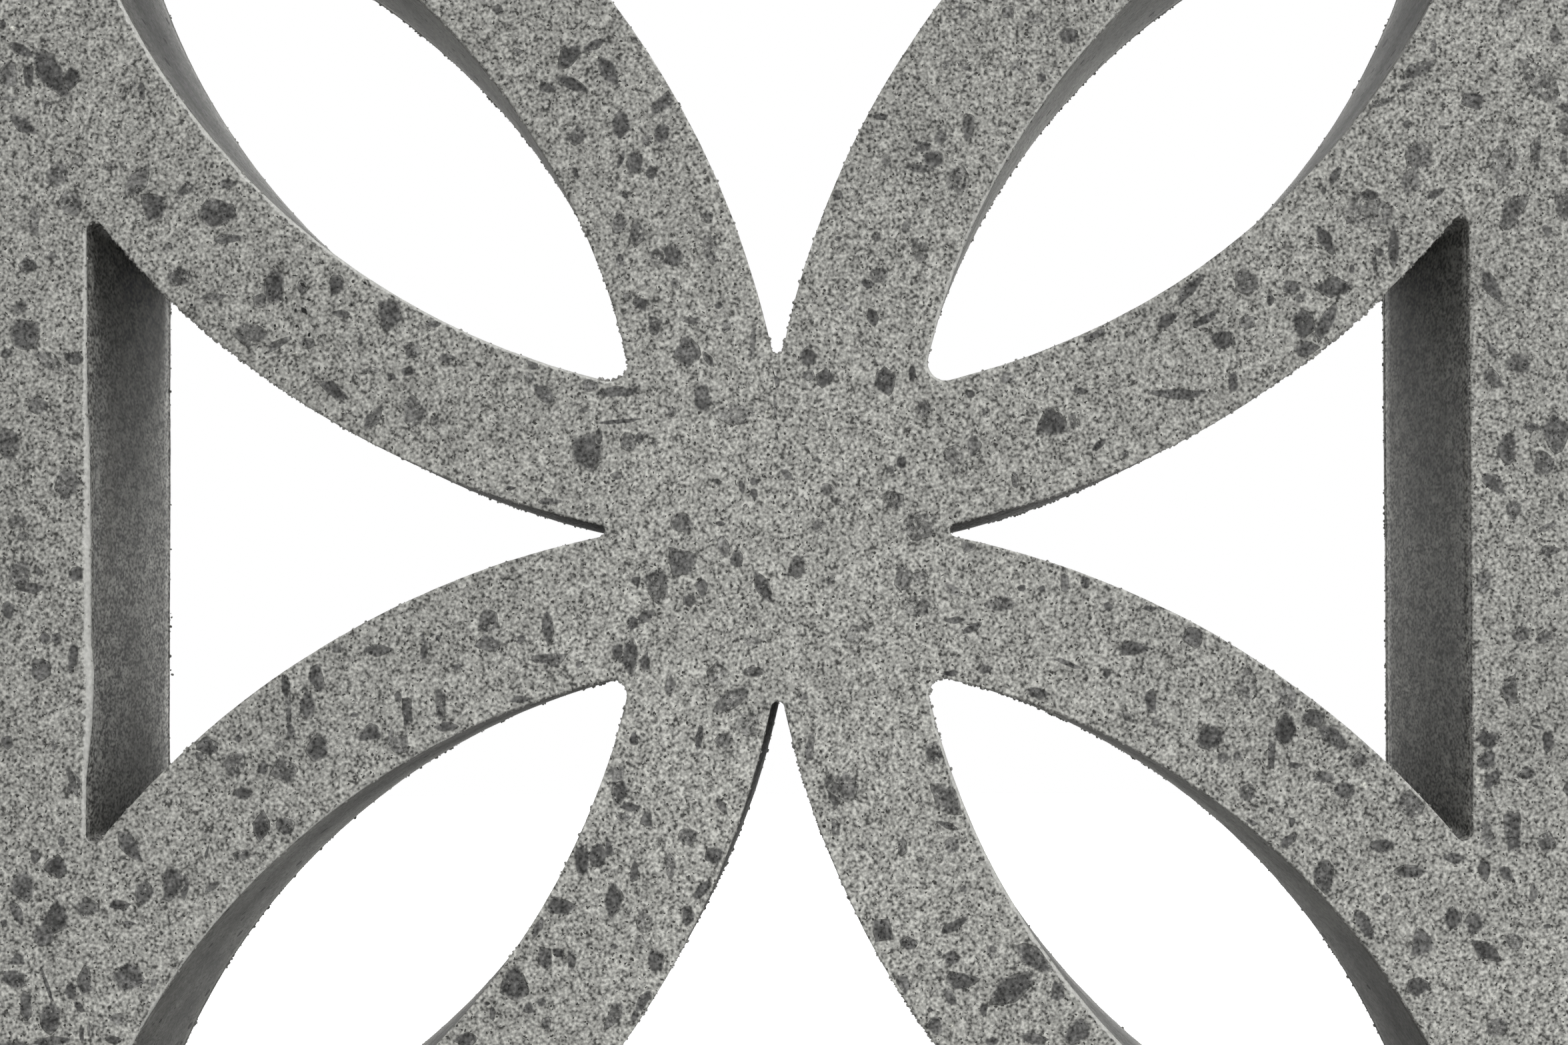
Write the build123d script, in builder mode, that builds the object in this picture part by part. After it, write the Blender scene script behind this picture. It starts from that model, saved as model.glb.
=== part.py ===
"""Decorative concrete breeze block, cast in one piece.

A square frame holds eight curved ribs that run together into a cross at the
middle. They leave four petal-shaped openings on the diagonals and four
three-sided openings, with two hollow sides each, against the frame.
Millimetres, +Z up, the decorated face towards -Y. The block stands on its lower
edge, as it is laid in a screen wall, and the origin is at the middle of that edge.
"""

import os

from build123d import *

# The block, and the grid that it is laid on
block_side = 290.0  # width and height
block_depth = 90.0  # front face to back face
mortar_joint = 10.0  # mortar between two blocks

# The frame and the ribs, as they measure on the front face
frame_width = 25.0  # each of the four bars round the pattern
rib_width = 24.4  # square across one rib
rib_crossover = 2.0  # how far a rib's outer edge reaches past the middle of the block

# The ends and corners of the openings
petal_tip_radius = 3.0  # at both ends of a petal
notch_radius = 1.0  # where a three-sided opening ends, near the middle of the block
corner_radius = 1.5  # its two corners against the frame

# What the mould leaves
draft = 0.7  # how far each wall of an opening comes in on its way to the back
arris = 0.6  # narrow bevel along every edge of the front and back faces

# Every rib is part of a ring whose centre is halfway along a side of the laid
# grid, so the rings run on unbroken from one block to the next
ring_centre = (block_side + mortar_joint) / 2
rib_outer_radius = ring_centre + rib_crossover
rib_inner_radius = rib_outer_radius - rib_width
frame_reach = block_side / 2 - frame_width

# The core that leaves an opening, from front to back: depth behind the front
# face, and how much wider than drawn the opening is there on every side
core_profile = (
    (0, arris),
    (arris, 0),
    (block_depth - arris, -draft),
    (block_depth, arris - draft),
)


def elevation(depth):
    """Plane parallel to the front face and this far behind it, seen from the front."""
    return Plane(
        origin=(0, depth - block_depth / 2, block_side / 2),
        x_dir=(1, 0, 0),
        z_dir=(0, -1, 0),
    )


def petal_section(depth, widening):
    """The lens that two neighbouring rings share, up and to the right."""
    radius = rib_inner_radius + widening
    with BuildSketch(elevation(depth)) as section:
        with Locations((0, ring_centre)):
            Circle(radius)
        with Locations((ring_centre, 0)):
            Circle(radius, mode=Mode.INTERSECT)
        fillet(section.vertices(), petal_tip_radius)
    return section.sketch


def three_sided_section(depth, widening):
    """What the rings above and below leave inside the right-hand bar of the frame."""
    radius = rib_outer_radius - widening
    reach = frame_reach + widening
    with BuildSketch(elevation(depth)) as section:
        Rectangle(reach, 2 * reach, align=(Align.MIN, Align.CENTER))
        with Locations((0, ring_centre), (0, -ring_centre)):
            Circle(radius, mode=Mode.SUBTRACT)
        notch = section.vertices().sort_by(Axis.X)[0]
        fillet(notch, notch_radius)
        corners = section.vertices().group_by(Axis.X)[-1]
        fillet(corners, corner_radius)
    return section.sketch


with BuildPart() as petal_core:
    loft(
        sections=[petal_section(depth, widening) for depth, widening in core_profile],
        ruled=True,
    )

with BuildPart() as three_sided_core:
    loft(
        sections=[three_sided_section(depth, widening) for depth, widening in core_profile],
        ruled=True,
    )

with BuildPart() as breeze_block:
    with BuildSketch(elevation(0)):
        Rectangle(block_side, block_side)
    extrude(amount=-block_depth)
    front_and_back = breeze_block.faces().filter_by(Axis.Y)
    chamfer(front_and_back.edges(), arris)

    # Four openings of each kind, a quarter turn apart
    middle = Axis((0, 0, block_side / 2), (0, 1, 0))
    for core in (petal_core, three_sided_core):
        for quarter in range(4):
            add(core.part.rotate(middle, 90 * quarter), mode=Mode.SUBTRACT)

breeze_block.part.label = "breeze_block"

os.makedirs("parts", exist_ok=True)
export_step(breeze_block.part, "parts/breeze_block.step")
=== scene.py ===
"""Dresses the cast concrete breeze block with its ground faces, exposed stones, worn arrises and crumbs.

Sizes are in millimetres while a piece is being shaped, and its mesh is scaled to metres at the end.
"""
import logging
import math
import random
from dataclasses import dataclass, replace
from enum import Enum
from typing import Callable, Iterable

import bmesh
import bpy
from mathutils import Matrix, Vector, noise


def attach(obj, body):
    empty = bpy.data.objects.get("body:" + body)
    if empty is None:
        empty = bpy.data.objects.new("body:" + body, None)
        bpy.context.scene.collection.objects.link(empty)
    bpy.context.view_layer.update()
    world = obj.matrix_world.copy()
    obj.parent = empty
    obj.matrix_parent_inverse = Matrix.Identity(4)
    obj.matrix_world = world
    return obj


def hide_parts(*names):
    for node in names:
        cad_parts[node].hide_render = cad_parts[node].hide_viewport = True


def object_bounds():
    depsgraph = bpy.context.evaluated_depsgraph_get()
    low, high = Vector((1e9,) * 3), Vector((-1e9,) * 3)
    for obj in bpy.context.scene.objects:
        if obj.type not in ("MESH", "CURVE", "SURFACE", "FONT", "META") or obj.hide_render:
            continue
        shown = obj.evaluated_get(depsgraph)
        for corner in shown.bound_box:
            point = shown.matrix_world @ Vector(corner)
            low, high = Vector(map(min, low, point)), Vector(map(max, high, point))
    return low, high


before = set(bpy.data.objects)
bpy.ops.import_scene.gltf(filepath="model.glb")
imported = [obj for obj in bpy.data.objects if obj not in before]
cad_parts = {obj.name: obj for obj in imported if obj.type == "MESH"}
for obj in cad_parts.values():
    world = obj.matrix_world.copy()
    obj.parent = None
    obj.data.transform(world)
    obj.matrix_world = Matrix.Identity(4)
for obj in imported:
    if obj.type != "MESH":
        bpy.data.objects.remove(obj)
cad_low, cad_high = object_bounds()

log = logging.getLogger("breeze_block")

MM = 0.001
CAD_SIZE = (cad_high - cad_low) / MM
BODY = "root"
NODE = "breeze_block"

Pair = tuple[float, float]
Triple = tuple[float, float, float]
Mesh = bmesh.types.BMesh
Verts = list[bmesh.types.BMVert]
Material = bpy.types.Material
Socket = bpy.types.NodeSocket
Sockets = bpy.types.bpy_prop_collection
Groups = dict[str, bpy.types.NodeTree]


class Face(Enum):
    """The two ground faces of the block, by the side of the shortest axis that they look to."""

    FRONT = -1.0
    BACK = 1.0


class Opening(Enum):
    """The two shapes of core that leave the openings."""

    PETAL = "petal"
    THREE_SIDED = "three_sided"


class Exposure(Enum):
    """How much of a stone the grinding laid bare, or else a pale grain of quartz, or a small open pit painted
    as a flat dark patch of shade.
    """

    BARE = 0
    VEILED = 1
    FAINT = 2
    QUARTZ = 3
    PIT = 4


class Finish(Enum):
    """The material numbers of the casting's pieces."""

    GROUND = 0
    ARRIS = 1
    CAST = 2
    PETAL = 3
    OUTER = 4


@dataclass(frozen=True)
class BlockSizes:
    """The block's own sizes, in millimetres."""

    side: float = round(CAD_SIZE.x, 2)
    depth: float = round(CAD_SIZE.y, 2)
    mortar_joint: float = 10.0
    frame_width: float = 25.0
    rib_width: float = 24.4
    rib_crossover: float = 2.0
    petal_tip_radius: float = 3.0
    notch_radius: float = 1.2
    corner_radius: float = 1.5
    petal_draft: float = 0.52
    rib_draft: float = 0.70
    bar_draft: float = 1.27
    face_recess: float = 0.05
    face_plate: float = 3.0

    @property
    def ring_centre(self) -> float:
        """How far the rings' centres stand from the block's middle."""
        return (self.side + self.mortar_joint) / 2

    @property
    def outer_radius(self) -> float:
        """The rings' outer radius."""
        return self.ring_centre + self.rib_crossover

    @property
    def inner_radius(self) -> float:
        """The rings' inner radius."""
        return self.outer_radius - self.rib_width

    @property
    def reach(self) -> float:
        """From the block's middle to the inside of its frame."""
        return self.side / 2 - self.frame_width

    @property
    def skin_depth(self) -> float:
        """The depth that the finished casting has between its two ground faces."""
        return self.depth - 2 * self.face_recess


@dataclass(frozen=True)
class PhotoCamera:
    """Where the photograph was taken from, in metres and radians, and the size of its frame in pixels."""

    location: Triple = (0.004606, -0.770739, 0.127233)
    yaw: float = 0.0049
    pitch: float = 0.0259
    roll: float = 0.0028
    lens: float = 96.28
    sensor: float = 36.0
    clip: Pair = (0.05, 50.0)
    frame_wide: int = 2352
    frame_high: int = 1568

    def turn(self) -> Matrix:
        """The camera's rotation in the block's frame."""
        return (Matrix.Rotation(self.yaw, 4, "Z") @ Matrix.Rotation(self.pitch, 4, "X")
                @ Matrix.Rotation(self.roll, 4, "Y") @ Matrix.Rotation(math.pi / 2, 4, "X"))

    def place(self) -> bpy.types.Object:
        """Makes the camera and hands it to the scene."""
        data = bpy.data.cameras.new("photo_camera")
        data.lens, data.sensor_width, data.sensor_fit = self.lens, self.sensor, "HORIZONTAL"
        data.clip_start, data.clip_end = self.clip
        camera = bpy.data.objects.new("photo_camera", data)
        camera.matrix_world = Matrix.Translation(self.location) @ self.turn()
        bpy.context.scene.collection.objects.link(camera)
        bpy.context.scene.camera = camera
        return camera

    def on_front(self, sizes: BlockSizes, column: float, row: float) -> Pair:
        """The place on the front face that a pixel of the frame shows.

        Args:
            sizes: The block's sizes, which say where the front face stands.
            column: Pixels from the left of the frame.
            row: Pixels from the top of the frame.

        Returns:
            Millimetres across from the block's middle, and up from its bed.
        """
        focal = self.lens / self.sensor * self.frame_wide
        across = (column - (self.frame_wide - 1) / 2) / focal
        up = -(row - (self.frame_high - 1) / 2) / focal
        ray = self.turn() @ Vector((across, up, -1.0))
        start = Vector(self.location)
        reach = (-sizes.depth / 2 * MM - start.y) / ray.y
        hit = start + ray * reach
        return hit.x / MM, hit.z / MM

    def sees(self, sizes: BlockSizes, across: float, up: float) -> bool:
        """Whether a place on the front face lies within the photograph's frame."""
        left, top = self.on_front(sizes, 0, 0)
        right, bottom = self.on_front(sizes, self.frame_wide, self.frame_high)
        return left < across < right and bottom < up < top


@dataclass(frozen=True)
class Arc:
    """A piece of an outline: a turn round a centre, in steps."""

    across: float
    up: float
    sweep: float
    steps: int


@dataclass(frozen=True)
class CoreSeat:
    """How one core sat in the mould: its shift at the front and the back, and how wide it left its walls."""

    kind: Opening
    quarter: int
    front: Pair
    back: Pair
    front_gap: float
    back_gap: float


CORE_SEATS = (
    CoreSeat(Opening.THREE_SIDED, 0, (-0.15, -0.31), (-1.42, 0.02), 0.11, -0.03),
    CoreSeat(Opening.THREE_SIDED, 1, (-0.03, 0.04), (0.0, 0.0), -0.15, 0.0),
    CoreSeat(Opening.THREE_SIDED, 2, (0.01, -0.24), (0.02, 0.02), -0.05, 0.02),
    CoreSeat(Opening.THREE_SIDED, 3, (-0.16, 0.01), (0.07, -0.01), 0.03, -0.08),
    CoreSeat(Opening.PETAL, 0, (0.39, -0.05), (0.86, -0.09), 0.09, 0.48),
    CoreSeat(Opening.PETAL, 1, (-0.24, -0.05), (-0.39, -0.23), 0.05, 0.53),
    CoreSeat(Opening.PETAL, 2, (-0.16, 0.02), (-0.42, 0.10), -0.31, -0.37),
    CoreSeat(Opening.PETAL, 3, (0.06, 0.01), (0.49, 0.0), -0.21, 0.0),
)


@dataclass(frozen=True)
class ArrisWear:
    """How the edge between a face and a wall is worn, by the way that the wall looks. Its pale skin of paste
    grows where the wall looks right and up, which paints a highlight where the arris faces the light.

    The waves of the wall itself are here too. Lengths are in millimetres, and a wave is its height and how
    many lumps it has to the millimetre.
    """

    bright_width: float = 0.75
    ragged_width: float = 0.28
    outer_width: float = 0.6
    least_width: float = 0.12
    width_waves: tuple[Pair, ...] = ((0.35, 0.9), (0.25, 0.21))
    faces_apart: float = 37.0
    deepest: float = 0.9
    depth_share: float = 0.8
    profile_shares: tuple[Pair, ...] = ((0.0, 1.0), (0.1, 0.62), (0.4, 0.26), (1.0, 0.0))

    nick_width: float = 0.9
    nick_lumps: float = 0.3
    nick_start: float = 0.42
    nick_shift: Triple = (71.0, 13.0, 5.0)

    # Shares of pale paste skin at the front arrises; the right- and up-facing terms paint a highlight where
    # the arris faces the light.
    level_smooth_share: float = 0.15
    right_facing_highlight_share: float = 0.75
    up_facing_highlight_share: float = 0.3
    rib_smooth_share: float = 0.25
    outer_smooth_share: float = 0.3

    wall_waves: tuple[Pair, ...] = ((0.09, 0.05), (0.05, 0.22), (0.03, 1.1))
    strip_depth: float = 8.0
    bar_strip: tuple[Pair, ...] = (
        (91.0, 0.7), (102.5, 0.8), (111.7, 1.9), (120.9, 2.3), (125.5, 1.7), (148.4, 1.5), (162.2, 1.2),
        (166.8, 0.9), (195.6, 0.7),
    )

    def strip(self, height: float) -> float:
        """The width of the strip along the left bar, by the height above the block's bed."""
        for (below, first), (above, last) in zip(self.bar_strip, self.bar_strip[1:]):
            if below <= height <= above:
                return first + (last - first) * (height - below) / (above - below)
        return self.bar_strip[0][1]


SIZES = BlockSizes()
CAMERA = PhotoCamera()
WEAR = ArrisWear()


def turned(across: float, up: float, quarter: int) -> Vector:
    """A place or direction turned by quarter turns round the block's middle, seen from the front."""
    angle = math.pi / 2 * quarter
    cosine, sine = round(math.cos(angle)), round(math.sin(angle))
    return Vector((across * cosine - up * sine, across * sine + up * cosine))


def waves(place: Vector, heights: Iterable[Pair]) -> float:
    """Smooth noise at a place, summed from waves that are each a height and its lumps to the millimetre."""
    return sum(height * noise.noise(place * lumps) for height, lumps in heights)


def between(value: float, low: float, high: float = 1.0) -> float:
    """A value kept between two limits."""
    return min(high, max(low, value))


@dataclass
class Outline:
    """A closed line round an opening, or round the block, with the way into the concrete at each point.

    Places are across and up from the block's middle, in millimetres, seen from the front.
    """

    sizes: BlockSizes
    wear: ArrisWear
    places: list[Vector]
    inward: list[Vector]
    seat: CoreSeat | None = None
    bar_straightness: float = 0.999
    left_quarter: int = 2

    def direction(self, index: int) -> Pair:
        """How far the wall at a point looks to the right and upwards, each from -1 to 1."""
        return -self.inward[index].x, -self.inward[index].y

    def on_bar(self, index: int) -> bool:
        """Whether the point is on the straight wall of a three-sided opening."""
        if self.seat is None or self.seat.kind is Opening.PETAL:
            return False
        own = turned(self.inward[index].x, self.inward[index].y, -self.seat.quarter)
        return own.x > self.bar_straightness

    @property
    def wall(self) -> Finish:
        """The finish of the wall that the outline belongs to."""
        if self.seat is None:
            return Finish.OUTER
        return Finish.PETAL if self.seat.kind is Opening.PETAL else Finish.CAST

    def draft(self, index: int) -> float:
        """How much nearer the wall comes at the back than at the front."""
        if self.seat is None:
            return 0.0
        if self.seat.kind is Opening.PETAL:
            return self.sizes.petal_draft
        return self.sizes.bar_draft if self.on_bar(index) else self.sizes.rib_draft

    def strip(self, index: int) -> float:
        """The width of the pale paste strip along the left bar's front arris, partly painted highlight, or 0
        elsewhere.
        """
        if not self.on_bar(index) or self.seat.quarter != self.left_quarter:
            return 0.0
        return self.wear.strip(self.places[index].y + self.sizes.side / 2)

    def skin_and_highlight_share(self, index: int, face: Face) -> float:
        """How far the arris at a point is a smooth pale skin of paste, from 0 for a ragged one to 1, larger
        where the wall looks right and up, as painted highlight.
        """
        wear = self.wear
        if self.seat is None:
            return wear.outer_smooth_share
        if face is Face.BACK:
            return 0.0
        right, up = self.direction(index)
        share = wear.level_smooth_share + wear.right_facing_highlight_share * right + wear.up_facing_highlight_share * up
        share = between(share, 0.0)
        plain = self.seat.kind is Opening.PETAL or self.on_bar(index)
        return share if plain else wear.rib_smooth_share * share

    def arris(self, index: int, face: Face) -> float:
        """The width of the worn arris at a point of a face."""
        wear = self.wear
        place = self.places[index].to_3d() + Vector((0, 0, wear.faces_apart * face.value))
        width = wear.outer_width
        if self.seat is not None:
            share = self.skin_and_highlight_share(index, face)
            width = wear.ragged_width + share * (wear.bright_width - wear.ragged_width)
        width = max(width, self.strip(index)) * (1 + waves(place, wear.width_waves))
        nick = waves(place + Vector(wear.nick_shift), [(1.0, wear.nick_lumps)]) - wear.nick_start
        return max(wear.least_width, width) + wear.nick_width * max(0.0, nick)

    def at(self, index: int, down: float, widening: float) -> Vector:
        """A point of the wall.

        Args:
            index: The point of the outline.
            down: Depth from the front face, in millimetres.
            widening: How much further into the concrete than the plain wall.

        Returns:
            The point in millimetres, in the block's frame.
        """
        share = down / self.sizes.skin_depth
        place, inward = self.places[index], self.inward[index]
        drift = waves(Vector((place.x, down, place.y)), self.wear.wall_waves)
        shift = Vector((0.0, 0.0))
        if self.seat is None:
            drift = abs(drift)
        else:
            shift = Vector(self.seat.front).lerp(Vector(self.seat.back), share)
            drift += self.seat.front_gap * (1 - share) + (self.seat.back_gap - self.draft(index)) * share
            ledge = max(0.0, self.strip(index) - self.wear.bright_width)
            drift -= ledge * max(0.0, 1 - down / self.wear.strip_depth)
        moved = place + shift + inward * (drift + widening)
        return Vector((moved.x, -self.sizes.skin_depth / 2 + down, self.sizes.side / 2 + moved.y))

    def worn(self, index: int, face: Face, deep: float, wide: float) -> Vector:
        """A point of the worn arris, at shares of its depth and width."""
        width = self.arris(index, face)
        down = deep * min(self.wear.depth_share * width, self.wear.deepest)
        if face is Face.BACK:
            down = self.sizes.skin_depth - down
        return self.at(index, down, wide * width)


@dataclass
class Pattern:
    """Draws the outlines of the eight openings and of the block, and says how far a place is from them."""

    sizes: BlockSizes = SIZES
    wear: ArrisWear = WEAR
    spacing: float = 0.7
    edge_spacing: float = 2.9
    least_steps: int = 6
    merge: float = 0.05
    probe: float = 0.05
    least_slope: float = 1e-6
    tries: int = 4

    def arc(self, across: float, up: float, radius: float, start: float, end: float) -> Arc:
        """An arc round a centre from one angle to another."""
        steps = max(self.least_steps, round(abs(end - start) * radius / self.spacing))
        return Arc(across, up, end - start, steps)

    def petal_arcs(self) -> tuple[Vector, list[Arc]]:
        """The first point of a petal's outline, and its four arcs."""
        centre, radius = self.sizes.ring_centre, self.sizes.inner_radius
        tip = self.sizes.petal_tip_radius
        half = math.sqrt(2 * (radius - tip) ** 2 - centre ** 2)
        near, far = (centre - half) / 2, (centre + half) / 2
        first, last = math.atan2(near - centre, near), math.atan2(far - centre, far)
        arcs = [
            self.arc(0, centre, radius, first, last),
            self.arc(far, far, tip, last, math.pi / 2 - last),
            self.arc(centre, 0, radius, math.pi / 2 - last, math.pi / 2 - first),
            self.arc(near, near, tip, math.pi / 2 - first, 2 * math.pi + first),
        ]
        return Vector((radius * math.cos(first), centre + radius * math.sin(first))), arcs

    def three_sided_arcs(self) -> tuple[Vector, list[Arc]]:
        """The first point of a three-sided opening's outline, and its arcs. The bar closes it."""
        centre, radius, reach = self.sizes.ring_centre, self.sizes.outer_radius, self.sizes.reach
        corner, notch = self.sizes.corner_radius, self.sizes.notch_radius
        corner_x = reach - corner
        corner_y = centre - math.sqrt((radius + corner) ** 2 - corner_x ** 2)
        notch_x = math.sqrt((radius + notch) ** 2 - centre ** 2)
        side = math.atan2(corner_y - centre, corner_x)
        nose = math.atan2(-centre, notch_x)
        arcs = [
            self.arc(corner_x, corner_y, corner, 0, math.pi + side),
            self.arc(0, centre, radius, side, nose),
            self.arc(notch_x, 0, notch, math.pi + nose, math.pi - nose),
            self.arc(0, -centre, radius, -nose, -side),
            self.arc(corner_x, -corner_y, corner, math.pi - side, 2 * math.pi),
        ]
        return Vector((reach, corner_y)), arcs

    def trace(self, first: Vector, arcs: list[Arc]) -> list[Vector]:
        """Spins a point round each arc in turn and closes the line with a straight run where it is open.

        Args:
            first: The first point, across and up.
            arcs: The arcs, each starting where the last ended.

        Returns:
            The places along the line, in order.
        """
        bm = bmesh.new()
        point = bm.verts.new((first.x, 0, first.y))
        start = point
        for arc in arcs:
            made = bmesh.ops.spin(bm, geom=[point], cent=(arc.across, 0, arc.up), axis=(0, -1, 0),
                                  angle=arc.sweep, steps=arc.steps)
            point = next(item for item in made["geom_last"] if isinstance(item, bmesh.types.BMVert))
        if (point.co - start.co).length > self.spacing:
            run = bm.edges.new((point, start))
            cuts = round((point.co - start.co).length / self.spacing) - 1
            bmesh.ops.subdivide_edges(bm, edges=[run], cuts=cuts)
        bmesh.ops.remove_doubles(bm, verts=bm.verts[:], dist=self.merge)
        places = [Vector((vert.co.x, vert.co.z)) for vert in walk(bm)]
        bm.free()
        return places

    def block_edge(self) -> list[Vector]:
        """The places along the block's own square outline, in order."""
        bm = bmesh.new()
        bmesh.ops.create_grid(bm, x_segments=1, y_segments=1, size=self.sizes.side / 2)
        bmesh.ops.delete(bm, geom=bm.faces[:], context="FACES_ONLY")
        bmesh.ops.subdivide_edges(bm, edges=bm.edges[:], cuts=round(self.sizes.side / self.edge_spacing) - 1)
        places = [Vector((vert.co.x, vert.co.y)) for vert in walk(bm)]
        bm.free()
        return places

    def outline(self, places: list[Vector], seat: CoreSeat | None) -> Outline:
        """Turns places into an outline, running so that the concrete is on the right-hand side."""
        area = sum(a.cross(b) for a, b in zip(places, places[1:] + places[:1]))
        if area < 0:
            places.reverse()
        if seat is not None:
            places = [turned(place.x, place.y, seat.quarter) for place in places]
        inward = []
        for index, place in enumerate(places):
            along = (places[(index + 1) % len(places)] - places[index - 1]).normalized()
            away = Vector((along.y, -along.x))
            inward.append(away if seat is not None else -away)
        return Outline(self.sizes, self.wear, places, inward, seat)

    def outlines(self) -> list[Outline]:
        """The outlines of all eight openings, and then the block's own."""
        shapes = {
            Opening.PETAL: self.trace(*self.petal_arcs()),
            Opening.THREE_SIDED: self.trace(*self.three_sided_arcs()),
        }
        lines = [self.outline(list(shapes[seat.kind]), seat) for seat in CORE_SEATS]
        return lines + [self.outline(self.block_edge(), None)]

    def clearance(self, across: float, up: float) -> float:
        """How far a place on the front face is from the nearest opening or outer edge, less than 0 outside.

        Args:
            across: Millimetres from the block's middle.
            up: Millimetres from the block's middle.

        Returns:
            The distance in millimetres.
        """
        centre = self.sizes.ring_centre
        nearest = min(self.sizes.side / 2 - abs(across), self.sizes.side / 2 - abs(up))
        for seat in CORE_SEATS:
            spot = turned(across - seat.front[0], up - seat.front[1], -seat.quarter)
            upper, lower = (spot - Vector((0, centre))).length, (spot + Vector((0, centre))).length
            if seat.kind is Opening.PETAL:
                right = (spot - Vector((centre, 0))).length
                gap = max(upper, right) - self.sizes.inner_radius
            elif spot.x > 0:
                gap = max(self.sizes.outer_radius - min(upper, lower), spot.x - self.sizes.reach)
            else:
                continue
            nearest = min(nearest, gap - seat.front_gap)
        return nearest

    def kept_in(self, across: float, up: float, margin: float) -> Pair:
        """A place moved back onto the face where it would hang over an opening or the block's edge."""
        step = self.probe
        for _ in range(self.tries):
            short = margin - self.clearance(across, up)
            if short <= 0:
                break
            slope = Vector((self.clearance(across + step, up) - self.clearance(across - step, up),
                            self.clearance(across, up + step) - self.clearance(across, up - step)))
            if slope.length < self.least_slope:
                break
            slope.normalize()
            across, up = across + slope.x * short, up + slope.y * short
        return across, up


def walk(bm: Mesh) -> Verts:
    """The points of a single closed line, in order round it."""
    bm.verts.ensure_lookup_table()
    first = bm.verts[0]
    found, edge = [first], first.link_edges[0]
    point = edge.other_vert(first)
    while point is not first:
        found.append(point)
        edge = next(other for other in point.link_edges if other is not edge)
        point = edge.other_vert(point)
    return found


def gather(whole: Mesh, part: Mesh) -> None:
    """Moves a small shape into the piece that it belongs to, which is much quicker than shaping it there."""
    mesh = bpy.data.meshes.new("part")
    part.to_mesh(mesh)
    part.free()
    whole.from_mesh(mesh)
    bpy.data.meshes.remove(mesh)


def finish_piece(bm: Mesh, name: str, materials: Iterable[Material]) -> bpy.types.Object:
    """Scales a shaped piece to metres and puts it in the scene in place of the plain casting.

    Args:
        bm: The piece in millimetres, in its place.
        name: The piece's name.
        materials: Its materials, in the order of its faces' material numbers.

    Returns:
        The new object.
    """
    bmesh.ops.scale(bm, vec=(MM, MM, MM), verts=bm.verts[:])
    mesh = bpy.data.meshes.new(name)
    bm.to_mesh(mesh)
    bm.free()
    for material in materials:
        mesh.materials.append(material)
    piece = bpy.data.objects.new(name, mesh)
    bpy.context.scene.collection.objects.link(piece)
    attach(piece, BODY)
    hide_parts(NODE)
    log.info("%s: %d triangles", name, sum(len(face.vertices) - 2 for face in mesh.polygons))
    return piece


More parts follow.
